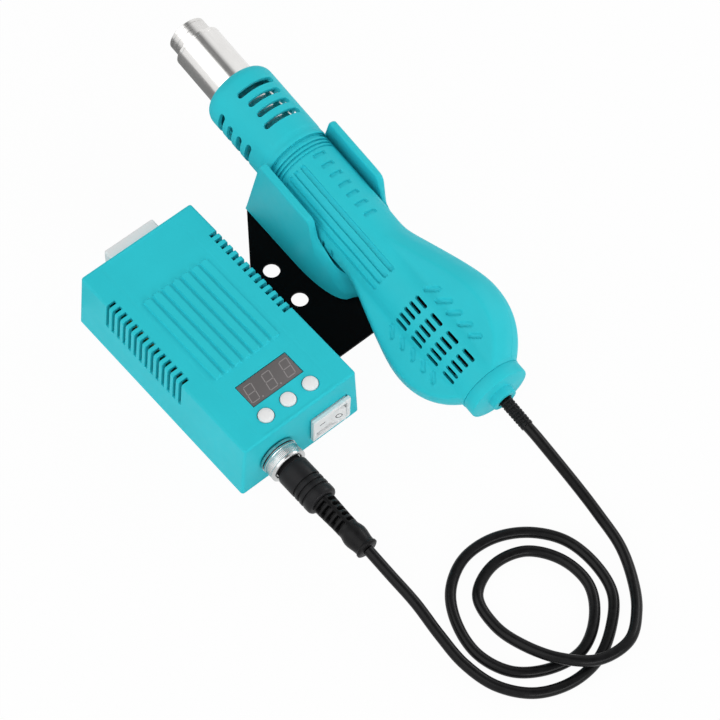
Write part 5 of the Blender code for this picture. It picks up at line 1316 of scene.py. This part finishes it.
def lock_ring(settings):
    """The knurled collar: a turned ring whose middle stands in fine straight teeth."""
    back = -57.6
    front = -64.2
    profile = np.array([(6.8, back), (8.35, back), (8.6, back - 0.1), (8.8, back - 0.45),
                        (8.8, back - 1.0), (8.65, back - 1.15), (8.7, back - 1.4),
                        (8.7, front + 1.9), (8.65, front + 1.7), (8.8, front + 1.5),
                        (8.8, front + 0.75), (8.7, front + 0.4), (8.35, front + 0.1),
                        (8.0, front), (7.2, front), (6.95, front + 0.2), (6.8, front + 0.5)])
    teeth = settings.ring_teeth
    count = teeth * 6
    turn = np.linspace(0.0, 2.0 * np.pi, count, endpoint=False)
    wave = 0.5 + 0.5 * np.cos(turn * teeth)
    knurled = ((profile[:, 1] < back - 1.2) & (profile[:, 1] > front + 1.75)
               & (profile[:, 0] > 8.5)).astype(float)
    radius = profile[:, 0:1] - 0.09 * knurled[:, None] * (1.0 - wave)
    along = profile[:, 1:2] + 0.0 * turn
    points = np.stack([SOCKET_CENTRE[0] + radius * np.sin(turn), along,
                       SOCKET_CENTRE[1] + radius * np.cos(turn)], -1)
    rows = len(profile)
    quads = grid_faces(rows + 1, count, True) % (rows * count)
    ring = mesh_piece("plug_lock_ring", points, [quads], 30.0)
    return dressed(ring, "plated", "plug_ring", "plated_steel", "lock_ring")


def plug_body():
    """The plug's moulded body: a turned barrel, chamfered in front, with three sunk rings."""
    front = -64.5
    back = -85.7
    profile = [(0.0, -63.6), (6.0, -63.6), (6.0, front - 0.9), (6.6, front - 0.9),
               (7.1, front - 1.2), (7.4, front - 1.8), (7.4, front - 4.0)]
    for k in range(3):
        groove = back + 7.5 - k * 2.8 + 2.8
        profile += [(7.4, groove + 0.8), (7.32, groove + 0.62), (6.65, groove + 0.5),
                    (6.65, groove - 0.5), (7.32, groove - 0.62), (7.4, groove - 0.8)]
    profile += [(7.4, back + 1.9), (7.3, back + 1.0), (6.9, back + 0.35), (6.3, back + 0.05),
                (5.6, back), (0.0, back)]
    points, faces = lathe_parts(profile, 128, SOCKET_CENTRE)
    body = mesh_piece("cable_plug", points, faces, 35.0)
    return dressed(body, "black", "controller", "black_plastic", "plug_body")


def plug_boot():
    """The bend relief: a tapering sleeve with five slots on each of its four faces, and a
    swelling behind that ends in a lip round the cable."""
    start = -86.0
    waist = -102.0
    end = -114.0
    s = spaced([start, start - 0.2, waist, -113.2, -112.4, end + 0.3, end], 0.16)[::-1]
    turn = np.linspace(0.0, 2.0 * np.pi, 144, endpoint=False)
    a, at = np.meshgrid(turn, s)
    t = np.clip((start - at) / (start - waist), 0.0, 1.0)
    sleeve = 5.25 + (4.55 - 5.25) * t
    bulge = eased(at, [(waist + 1.2, 4.58), (waist - 4.0, 5.5), (-112.0, 4.75), (end, 4.75)])
    base = np.where(at > waist + 1.2, sleeve, bulge)
    lip = softened(0.6 - np.abs(at + 113.2), 0.3)
    base = np.maximum(base, 4.75 + 0.4 * lip)
    base -= 0.25 * softened(-(at - end) + 0.25, 0.2)
    slot_rows = [start - 1.9 - 2.95 * k for k in range(5)]
    sunk = np.zeros_like(base)
    for row in slot_rows:
        for face in range(4):
            away = (a - (face + 0.5) * np.pi / 2.0 + np.pi) % (2.0 * np.pi) - np.pi
            d = box_distance(away * 4.9, at - row, 2.95, 0.78, 0.25)
            sunk = np.maximum(sunk, softened(-d, 0.12))
    square = 1.0 + 0.035 * np.cos(4.0 * a) * (at > waist + 1.0)
    radius = base * square - 2.1 * sunk
    points, faces = skin_parts(s, turn, radius, SOCKET_CENTRE)
    boot = mesh_piece("cable_plug_boot", points, faces, 50.0)
    return dressed(boot, "rubber", "controller", "black_rubber", "plug_boot")


# Front panel

def button(name, node, body, x):
    """A domed cap: a turned crown over a straight side, with the hidden flange below."""
    profile = [(0.0, 34.2), (1.0, 34.17), (1.9, 34.06), (2.6, 33.88), (3.05, 33.62), (3.32, 33.3),
               (3.45, 32.9), (3.5, 32.4), (3.5, 30.7), (4.3, 30.7), (4.3, 29.7), (0.0, 29.7)]
    low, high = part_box(node)
    profile = [(r, z - 34.2 + high.z / MM) for r, z in profile]
    floor = low.z / MM
    profile = [(r, max(z, floor)) for r, z in profile[:-1]] + [(0.0, floor)]
    points, faces = lathe_parts(profile, 72, (x, BUTTON_Y), 'Z')
    cap = mesh_piece(name, points, faces, 40.0)
    return dressed(cap, "white", body, "white_plastic", node)


def slab_parts(centre, half, corner, low, high, edge, count=8):
    """A rounded plate: its outline carried up through small rounds at its lower and upper edge,
    closed by a face below and one above."""
    quarter = np.radians(np.linspace(0.0, 90.0, count))
    outline = []
    for sx, sy, start in ((1, 1, 0.0), (-1, 1, 90.0), (-1, -1, 180.0), (1, -1, 270.0)):
        turn = quarter + math.radians(start)
        outline.append(np.stack([sx * (half[0] - corner) + 0.0 * turn,
                                 sy * (half[1] - corner) + 0.0 * turn,
                                 np.cos(turn), np.sin(turn)], -1))
    outline = np.concatenate(outline)
    bend = np.radians(np.linspace(0.0, 90.0, 5))
    insets = np.concatenate([edge * (1.0 - np.sin(bend)), edge * (1.0 - np.cos(bend))])
    heights = np.concatenate([low + edge * (1.0 - np.cos(bend)),
                              high - edge * (1.0 - np.sin(bend))])
    reach = corner - insets[:, None]
    x = centre[0] + outline[:, 0] + reach * outline[:, 2]
    y = centre[1] + outline[:, 1] + reach * outline[:, 3]
    z = np.broadcast_to(heights[:, None], x.shape)
    rows, columns = x.shape
    k = np.arange(columns)
    faces = [grid_faces(rows, columns, True), k[::-1][None, :],
             (k + (rows - 1) * columns)[None, :]]
    return np.stack([x, y, z], -1).reshape(-1, 3), faces


def display_lens():
    """The smoked window, as wide as its solid in the part."""
    low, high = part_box("display_lens")
    centre = ((low.x + high.x) / 2.0 / MM, (low.y + high.y) / 2.0 / MM)
    half = ((high.x - low.x) / 2.0 / MM, (high.y - low.y) / 2.0 / MM)
    points, faces = slab_parts(centre, half, 0.35, low.z / MM, high.z / MM, 0.15)
    lens = mesh_piece("display_window", points, faces, 40.0)
    return dressed(lens, "lens", "controller", "smoked_lens", "display_lens")


def strip_parts(start, end, width, low, high):
    """A thin raised bar between two points, pointed at both ends as a display segment is."""
    a = np.array(start, float)
    b = np.array(end, float)
    along = (b - a) / np.linalg.norm(b - a)
    side = np.array([-along[1], along[0]]) * width / 2.0
    tip = along * width / 2.0
    a = a + along * 0.12
    b = b - along * 0.12
    outline = np.array([a, a + tip + side, b - tip + side, b, b - tip - side, a + tip - side])
    lower = np.concatenate([outline, np.full((6, 1), low)], 1)
    upper = np.concatenate([outline, np.full((6, 1), high)], 1)
    k = np.arange(6)
    after = (k + 1) % 6
    sides = np.stack([k, after, after + 6, k + 6], -1)
    return np.concatenate([lower, upper]), [sides, k[::-1][None, :], (k + 6)[None, :]]


def dot_parts(x, y, radius, low, high):
    """A thin round dot."""
    return lathe_parts([(0.0, high), (radius, high), (radius, low), (0.0, low)], 24, (x, y), 'Z')


def display_digits():
    """Three unlit figures of seven segments, drawn as pale hairlines on the window, the first
    two each with its point; they lean with the figures' slope."""
    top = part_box("display_lens")[1].z / MM
    low = top - 0.05
    high = top + 0.02
    wide = 2.05
    tall = 4.05
    lean = 0.19
    parts = []
    for middle in (-9.75, -0.05, 9.45):
        def at(u, v):
            """A point of this figure, u and v from -1 to 1."""
            return (middle + u * wide + lean * (v * tall), -34.75 + v * tall)

        for start, end in (((-1, 1), (1, 1)), ((-1, 0), (1, 0)), ((-1, -1), (1, -1)),
                           ((-1, 1), (-1, 0)), ((-1, 0), (-1, -1)), ((1, 1), (1, 0)),
                           ((1, 0), (1, -1))):
            parts.append(strip_parts(at(*start), at(*end), 0.42, low, high))
        if middle < 9.0:
            parts.append(dot_parts(middle + 2.75, -38.9, 0.38, low, high))
    points, faces = joined_parts(*parts)
    digits = mesh_piece("display_segments", points, faces, 40.0)
    return dressed(digits, "digits", "controller", "smoked_lens")


def softened_copy(name, node, width, segments=2, angle=30.0):
    """A copy of a CAD node, merged, with its flat faces joined and its edges rounded."""
    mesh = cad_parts[node].data.copy()
    mesh.name = name
    tidy = bmesh.new()
    tidy.from_mesh(mesh)
    bmesh.ops.remove_doubles(tidy, verts=tidy.verts, dist=0.00001)
    bmesh.ops.dissolve_limit(tidy, angle_limit=math.radians(1.0), verts=tidy.verts,
                             edges=tidy.edges)
    tidy.to_mesh(mesh)
    tidy.free()
    mesh.shade_smooth()
    mesh.set_sharp_from_angle(angle=math.radians(35.0))
    obj = bpy.data.objects.new(name, mesh)
    bpy.context.scene.collection.objects.link(obj)
    return rounded_edges(obj, width, segments, angle)


def rocker_marks():
    """The printed bar and ring on the rocker's two wings, as thin inlays on their faces."""
    rest = math.radians(-10.0)
    pivot = np.array([15.0, -55.3, 13.7])
    parts = []
    for side, shape in ((-1.0, "bar"), (1.0, "ring")):
        slope = np.array([7.3 * side, -1.4])
        slope /= np.linalg.norm(slope)
        across = np.array([slope[0] * side, slope[1] * side, 0.0])
        outward = np.array([across[1], -across[0], 0.0])
        middle = np.array([side * 4.0, -1.6 - 1.4 * 4.0 / 7.3, 0.0])
        if shape == "bar":
            points, faces = slab_parts((0.0, 0.0), (1.55, 0.24), 0.2, -0.05, 0.025, 0.01, 4)
        else:
            ring = [(1.62, -0.05), (1.62, 0.025), (1.22, 0.025), (1.22, -0.05), (1.62, -0.05)]
            points, faces = lathe_parts(ring, 64, (0.0, 0.0), 'Z')
        world = (middle + points[:, 0:1] * across + points[:, 1:2] * np.array([0.0, 0.0, 1.0])
                 + points[:, 2:3] * outward)
        turned = np.array([[math.cos(rest), -math.sin(rest), 0.0],
                           [math.sin(rest), math.cos(rest), 0.0], [0.0, 0.0, 1.0]])
        parts.append((world @ turned.T + pivot, faces))
    points, faces = joined_parts(*parts)
    marks = mesh_piece("switch_marks", points, faces, 40.0)
    return dressed(marks, "mark", "mains_rocker", "black_plastic")


# Cradle

def cradle_height(y):
    """Height of the cradle's edge along its length: a slope up at the back, the level rim that
    follows the handset, and a swept fall to the nose."""
    rise = math.tan(math.radians(AXIS_TILT))
    rear_top = AXIS_POINT[2] + 16.5 * rise + 13.8
    front_top = AXIS_POINT[2] - 16.5 * rise + 13.8
    knots = [(-40.0, 5.6), (-38.5, 10.0), (-36.5, 14.5), (-34.0, 19.6), (-32.0, 23.2),
             (-29.5, 26.6), (-27.0, 28.9), (-24.5, 30.3), (-22.4, 31.6), (-20.9, 33.8),
             (-19.8, 36.6), (-18.9, 39.6), (-17.9, front_top - 1.7), (-16.8, front_top - 0.35),
             (-15.6, front_top), (16.0, rear_top), (16.9, rear_top - 1.0), (26.6, 2.6)]
    places, heights = zip(*knots)
    return np.interp(y, places, heights)


def cradle_half_width(y):
    """Half the cradle's width in plan: straight sides, then a swept round nose."""
    sweep = np.clip((-10.0 - y) / 29.0, 0.0, 1.0)
    wide = 11.0 + 9.8 * np.sqrt(np.maximum(1.0 - sweep ** 2, 0.0)) ** 0.8
    tip = np.clip((-39.0 - y) / 1.0, 0.0, 1.0)
    return wide - 5.5 * (1.0 - np.sqrt(1.0 - tip ** 2))


def cradle():
    """The holder: at each place along it the outline runs up the outer wall, over the rounded
    rim and round the trough; what stands above the edge height or past the half width is
    drawn back onto them."""
    trough = 17.2
    bottom = 1.7
    y = spaced([-40.0, -39.9, -39.6, -39.0, -24.5, -22.4, -20.9, -19.8, -18.9, -17.9, -16.8, -15.6,
                16.0, 16.9, 26.6], 1.0)[:, None]
    height = cradle_height(y)
    wide = cradle_half_width(y)
    axis = AXIS_POINT[2] + y * math.tan(math.radians(AXIS_TILT))
    arc = np.radians(np.linspace(0.0, 90.0, 33))[None, :]
    x_arc = trough * np.sin(arc) + 0.0 * y
    z_arc = axis - trough * np.cos(arc)
    climb = np.linspace(0.0, 1.0, 9)[None, 1:]
    rim = 1.15
    bend = np.radians(np.linspace(0.0, 90.0, 10))[None, :]
    inner_top = np.maximum(height - rim, axis)
    x_climb = trough + 0.0 * climb + 0.0 * y
    z_climb = axis + (inner_top - axis) * climb
    x_in = trough + rim * (1.0 - np.cos(bend)) + 0.0 * y
    z_in = height - rim * (1.0 - np.sin(bend))
    below = np.clip(axis - height, 0.0, trough)
    brink = np.clip(np.sqrt(trough ** 2 - below ** 2), 0.4, wide)
    sunk = height < axis
    x_in = np.where(sunk, brink, x_in)
    z_in = np.where(sunk, height, z_in)
    nose = np.clip((-18.2 - y) / 4.2, 0.0, 1.0)
    nose = nose * nose * (3.0 - 2.0 * nose)
    fall = np.linspace(0.0, 1.0, 16)[None, 1:]
    x_arc, x_climb, x_in = (
        np.where(z_part > height - 1e-4, x_part + nose * (np.minimum(brink, x_part) - x_part),
                 x_part)
        for x_part, z_part in ((x_arc, z_arc), (x_climb, z_climb), (x_in, z_in)))
    foot = np.array([[0.35, 0.15], [0.5, 0.0]])
    x_foot = wide - foot[None, :, 0]
    z_foot = bottom + foot[None, :, 1] + 0.0 * y
    x_base = (wide - 0.5) * np.linspace(1.0, 0.0, 8)[None, 1:]
    z_base = bottom + 0.0 * x_base
    ceiling = np.where(wide < trough, axis - np.sqrt(np.maximum(trough ** 2 - wide ** 2, 0.0)),
                       1e3)

    def half_section(edge):
        """One side's outline, whose outer edge is rounded by edge."""
        low_edge = np.minimum(edge, np.maximum(0.7 * (height - bottom - 0.5), 0.2))
        over_x = edge + nose * (np.maximum(wide - brink - 0.05, 0.05) - edge)
        over_z = low_edge + nose * (np.clip(0.55 * (height - bottom - 0.6), 0.3, 9.5) - low_edge)
        x_out = np.maximum(wide - over_x * (1.0 - np.sin(bend)), 0.0)
        z_out = height - over_z * (1.0 - np.cos(bend))
        x_fall = wide + 0.0 * fall
        z_fall = (height - over_z) + (bottom + 0.5 - height + over_z) * fall
        x = np.concatenate([x_arc, x_climb, x_in, x_out, x_fall, x_foot, x_base], 1)
        z = np.concatenate([z_arc, z_climb, z_in, z_out, z_fall, z_foot, z_base], 1)
        z = np.maximum(np.minimum(z, np.minimum(height, ceiling)), bottom)
        return np.minimum(x, wide), z

    right_x, right_z = half_section(2.4)
    left_x, left_z = half_section(rim)
    x = np.concatenate([right_x, -left_x[:, -2:0:-1]], 1)
    z = np.concatenate([right_z, left_z[:, -2:0:-1]], 1)
    points = np.stack([x, y + 0.0 * x, z - AXIS_POINT[2]], -1)
    rows, columns = x.shape
    k = np.arange(columns)
    faces = [grid_faces(rows, columns, True), k[::-1][None, :],
             (k + (rows - 1) * columns)[None, :]]
    body = mesh_piece("cradle_body", points.reshape(-1, 3), faces, 38.0, HOLDER, merge=0.004)
    return dressed(body, "teal", "controller", "teal_plastic", "cradle")


# Screws

def screw_parts(tip, head_top, face, head_radius, countersunk):
    """A screw along Z with its face below: shank, head, and a cross sunk into the face."""
    rings = [(0.0, tip), (1.0, tip), (1.3, tip - 0.3)]
    if not countersunk:
        rings += [(1.3, head_top), (head_radius, head_top), (head_radius, face + 0.25),
                  (head_radius - 0.07, face + 0.08)]
    else:
        rings += [(1.3, head_top)]
    rings += [(head_radius - 0.25, face)]
    rings += [(r, face) for r in np.linspace(head_radius - 0.4, 0.1, 12)] + [(0.0, face)]
    rings = np.array(rings)
    count = 64
    turn = np.linspace(0.0, 2.0 * np.pi, count, endpoint=False)
    r = rings[:, 0:1] + 0.0 * turn
    x = r * np.cos(turn)
    y = r * np.sin(turn)
    on_face = (rings[:, 1:2] <= face + 1e-6) & (r < head_radius - 0.3)
    arm = np.minimum(box_distance(x, y, 1.35, 0.24, 0.1), box_distance(x, y, 0.24, 1.35, 0.1))
    z = rings[:, 1:2] + np.where(on_face, 0.75 * softened(-arm, 0.12), 0.0)
    points = np.stack([x, y, z + 0.0 * x], -1).reshape(-1, 3)
    rows = len(rings)
    quads = grid_faces(rows, count, True)
    k = np.arange(count)
    after = (k + 1) % count
    first = np.stack([np.zeros(count, int), count + after, count + k], -1)
    base = (rows - 2) * count
    last = np.stack([np.full(count, (rows - 1) * count), base + k, base + after], -1)
    return points, [quads[count:-count], first, last]


def screws():
    """Every screw of the station: four under the case, two under the cradle and four under
    the handle."""
    for k, (x, y) in enumerate([(sx * 22.5, y) for sx in (-1, 1) for y in (-40.5, 47.5)], 1):
        points, faces = screw_parts(9.8, 1.3, 0.1, 2.7, False)
        piece = mesh_piece(f"case_fixing_{k}", points + (x, y, 0.0), faces, 35.0)
        dressed(piece, "fastener", "controller", "fastener_steel", f"case_screw_{k}")
    for k, s in enumerate((-18.0, 18.0), 1):
        points, faces = screw_parts(8.5, 1.4, 0.1, 2.6, True)
        piece = mesh_piece(f"cradle_fixing_{k}", points + (0.0, s, -AXIS_POINT[2]), faces, 35.0,
                           HOLDER)
        dressed(piece, "fastener", "controller", "fastener_steel", f"cradle_screw_{k}")
    for k, (u, s) in enumerate([(8.8, 5.0), (-8.8, 5.0), (10.0, -50.0), (-10.0, -50.0)], 1):
        points, faces = screw_parts(6.0, -7.2, -8.5, 2.7, False)
        piece = mesh_piece(f"handle_fixing_{k}", points + (u, s, 0.0), faces, 35.0, HANDSET)
        dressed(piece, "fastener", "handset", "fastener_steel", f"handle_screw_{k}")


# Settings

class StationSettings(bpy.types.PropertyGroup):
    """Sizes and colours that a user would change."""

    lens: FloatProperty(name="Lens", description="Focal length of the camera, in millimetres",
                        default=137.54)
    shift_x: FloatProperty(name="Shift X", description="Sideways shift of the lens",
                           default=0.1437)
    shift_y: FloatProperty(name="Shift Y", description="Upward shift of the lens",
                           default=-0.0013)
    place: FloatVectorProperty(name="Camera Place", description="Where the camera stands",
                               default=(-0.36996, -0.47292, 1.02503), subtype='TRANSLATION',
                               unit='LENGTH')
    tilt: FloatProperty(name="Tilt", description="Turn of the camera from straight down",
                        default=math.radians(30.46), subtype='ANGLE', unit='ROTATION')
    heading: FloatProperty(name="Heading", description="Turn of the camera about the vertical",
                           default=math.radians(-39.63), subtype='ANGLE', unit='ROTATION')
    ambient: FloatProperty(name="Ambient", description="Strength of the studio's even light",
                           default=0.58, min=0.0)
    key: FloatProperty(name="Key", description="Power of the large softbox above", default=4.2,
                       min=0.0, unit='POWER')
    fill: FloatProperty(name="Fill", description="Power of the low softbox in front", default=3.2,
                        min=0.0, unit='POWER')
    rim: FloatProperty(name="Rim", description="Power of the softbox on the right", default=2.2,
                       min=0.0, unit='POWER')
    flag_light: FloatProperty(name="Flag Light",
                              description="Share of light that the black strip above lets by",
                              default=0.22, subtype='FACTOR', min=0.0, max=1.0)
    floor_size: FloatProperty(name="Floor", description="Width of the floor", default=6.0,
                              unit='LENGTH')
    floor_white: FloatProperty(name="Floor White", description="Share of plain white in the floor",
                               default=0.965, subtype='FACTOR', min=0.0, max=1.0)
    card_size: FloatProperty(name="Card", description="Width of the black card by the nozzle",
                             default=0.24, unit='LENGTH')
    teal: FloatVectorProperty(name="Teal", description="Colour of the moulded housing",
                              default=(0.030, 0.610, 0.700), subtype='COLOR', min=0.0, max=1.0)
    white: FloatVectorProperty(name="White", description="Colour of the switch and buttons",
                               default=(0.90, 0.90, 0.90), subtype='COLOR', min=0.0, max=1.0)
    black: FloatVectorProperty(name="Black", description="Colour of the rubber and the plug",
                               default=(0.006, 0.006, 0.0065), subtype='COLOR', min=0.0, max=1.0)
    window: FloatVectorProperty(name="Window", description="Tint of the display window",
                                     default=(0.145, 0.135, 0.135), subtype='COLOR')
    digits: FloatVectorProperty(name="Digits", description="Colour of the unlit segments",
                                default=(0.30, 0.28, 0.28), subtype='COLOR')
    teal_roughness: FloatProperty(name="Gloss", description="Roughness of the housing",
                                  default=0.48, subtype='FACTOR')
    grain: FloatProperty(name="Grain", description="Grains per millimetre of the moulding",
                         default=3.0)
    rib_pitch: FloatProperty(name="Rib Pitch", description="Distance between the lid's ribs",
                             default=0.00515, unit='LENGTH')
    rib_width: FloatProperty(name="Rib Width", description="Width of a rib on the lid",
                             default=0.0036, unit='LENGTH')
    rib_height: FloatProperty(name="Rib Height", description="Height of a rib on the lid",
                              default=0.0009, unit='LENGTH')
    groove_depth: FloatProperty(name="Groove Depth", description="Depth of the handle's grooves",
                                default=0.0012, unit='LENGTH')
    ring_teeth: IntProperty(name="Ring Teeth", description="Teeth of the lock ring's knurl",
                            default=96, min=12, max=160)
    edge: FloatProperty(name="Edge", description="Rounding of the cover's cut edges",
                        default=0.00022, unit='LENGTH')
    radius: FloatProperty(name="Cord Radius", description="Radius of the cable",
                          default=0.0024, unit='LENGTH')
    step: FloatProperty(name="Cord Step", description="Distance between rings of the cable",
                        default=0.0012, unit='LENGTH')


# Operators

class STATION_OT_finishes(bpy.types.Operator):
    """Makes every finish, and coats the nodes that keep their own shape"""

    bl_idname = "station.finishes"
    bl_label = "Finishes"

    def execute(self, context):
        make_finishes(context.scene.station)
        for node, finish in NODE_FINISHES.items():
            coat_node(node, finish)
        return {'FINISHED'}


class STATION_OT_stage(bpy.types.Operator):
    """Sets up the camera, floor, backdrop and lamps"""

    bl_idname = "station.stage"
    bl_label = "Stage"

    def execute(self, context):
        settings = context.scene.station
        context.scene.view_settings.view_transform = 'Standard'
        make_camera(settings)
        make_floor(settings)
        make_card(settings)
        make_world(settings)
        softbox("key_softbox", (-0.60, 0.20, 0.80), (0.03, -0.05, 0.0), 1.1, 1.1, settings.key)
        softbox("fill_softbox", (-0.10, -0.95, 0.32), (0.03, 0.0, 0.02), 0.8, 0.3, settings.fill)
        softbox("rim_softbox", (0.85, -0.12, 0.48), (0.05, 0.0, 0.03), 0.6, 0.3, settings.rim)
        return {'FINISHED'}


class STATION_OT_cable(bpy.types.Operator):
    """Lays the cable between the handset and the controller"""

    bl_idname = "station.cable"
    bl_label = "Cable"

    def execute(self, context):
        settings = context.scene.station
        cord, path, length, start = cable(settings)
        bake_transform(cord)
        return {'FINISHED'}


class STATION_OT_case(bpy.types.Operator):
    """Builds the controller's cover with its vents, openings and ribs"""

    bl_idname = "station.case"
    bl_label = "Case"

    def execute(self, context):
        case_cover(context.scene.station)
        return {'FINISHED'}


class STATION_OT_handle(bpy.types.Operator):
    """Builds both halves of the handle"""

    bl_idname = "station.handle"
    bl_label = "Handle"

    def execute(self, context):
        settings = context.scene.station
        for name, node, side in (("handle_top_shell", "handle_upper", 1),
                                 ("handle_under_shell", "handle_lower", -1)):
            points, faces = handle_half(side, settings)
            half = mesh_piece(name, points, faces, 35.0, HANDSET)
            rounded_edges(half, 0.15, 1, 60.0)
            dressed(half, "teal", "handset", "teal_plastic", node)
        return {'FINISHED'}


class STATION_OT_nozzle(bpy.types.Operator):
    """Builds the nozzle guard and the two steel tubes"""

    bl_idname = "station.nozzle"
    bl_label = "Nozzle"

    def execute(self, context):
        nozzle_guard()
        nozzle_tubes()
        return {'FINISHED'}


class STATION_OT_tail(bpy.types.Operator):
    """Builds the handle's end cap and the ribbed strain relief"""

    bl_idname = "station.tail"
    bl_label = "Tail"

    def execute(self, context):
        tail_cap()
        strain_relief()
        return {'FINISHED'}


class STATION_OT_connector(bpy.types.Operator):
    """Builds the knurled lock ring, the plug and its boot"""

    bl_idname = "station.connector"
    bl_label = "Connector"

    def execute(self, context):
        lock_ring(context.scene.station)
        plug_body()
        plug_boot()
        return {'FINISHED'}


class STATION_OT_panel(bpy.types.Operator):
    """Builds the display, the buttons, the mains rocker and the mains inlet"""

    bl_idname = "station.panel"
    bl_label = "Front Panel"

    def execute(self, context):
        for k, (body, x) in enumerate(zip(("button_left", "button_middle", "button_right"),
                                          BUTTON_XS), 1):
            button(f"button_cap_{k}", f"button_{k}", body, x)
        display_lens()
        display_digits()
        dressed(softened_copy("switch_bezel", "rocker_frame", 0.45, 3), "white", "controller",
                "white_plastic", "rocker_frame")
        dressed(softened_copy("switch_paddle", "rocker", 0.35, 3, 40.0), "white", "mains_rocker",
                "white_plastic", "rocker")
        rocker_marks()
        dressed(softened_copy("inlet_housing", "inlet_socket", 0.5, 3), "white", "controller",
                "white_plastic", "inlet_socket")
        return {'FINISHED'}


class STATION_OT_holder(bpy.types.Operator):
    """Builds the cradle and its steel bracket"""

    bl_idname = "station.holder"
    bl_label = "Holder"

    def execute(self, context):
        cradle()
        dressed(softened_copy("bench_bracket", "bracket", 0.25, 2), "bracket", "controller",
                "bracket_steel", "bracket")
        return {'FINISHED'}


class STATION_OT_underside(bpy.types.Operator):
    """Builds the base plate and every screw"""

    bl_idname = "station.underside"
    bl_label = "Underside"

    def execute(self, context):
        dressed(softened_copy("case_floor", "case_base", 0.3, 2, 50.0), "base", "controller",
                "black_plastic", "case_base")
        screws()
        return {'FINISHED'}


OPERATORS = (STATION_OT_finishes, STATION_OT_stage, STATION_OT_tail, STATION_OT_connector,
             STATION_OT_cable, STATION_OT_case, STATION_OT_panel, STATION_OT_handle,
             STATION_OT_nozzle, STATION_OT_holder, STATION_OT_underside)


class STATION_PT_looks(bpy.types.Panel):
    """Lists the settings and the pieces"""

    bl_label = "Rework Station"
    bl_idname = "STATION_PT_looks"
    bl_space_type = 'VIEW_3D'
    bl_region_type = 'UI'
    bl_category = "Rework Station"

    def draw(self, context):
        settings = context.scene.station
        for name in StationSettings.__annotations__:
            self.layout.prop(settings, name)
        for operator in OPERATORS:
            self.layout.operator(operator.bl_idname)


CLASSES = (StationSettings, *OPERATORS, STATION_PT_looks)


def register():
    """Adds the classes and the scene's settings."""
    for cls in CLASSES:
        bpy.utils.register_class(cls)
    bpy.types.Scene.station = PointerProperty(type=StationSettings)


def unregister():
    """Takes them away again."""
    del bpy.types.Scene.station
    for cls in reversed(CLASSES):
        bpy.utils.unregister_class(cls)


def main():
    """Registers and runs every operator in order."""
    register()
    for operator in OPERATORS:
        group, name = operator.bl_idname.split(".")
        getattr(getattr(bpy.ops, group), name)()


if __name__ == "__main__":
    main()
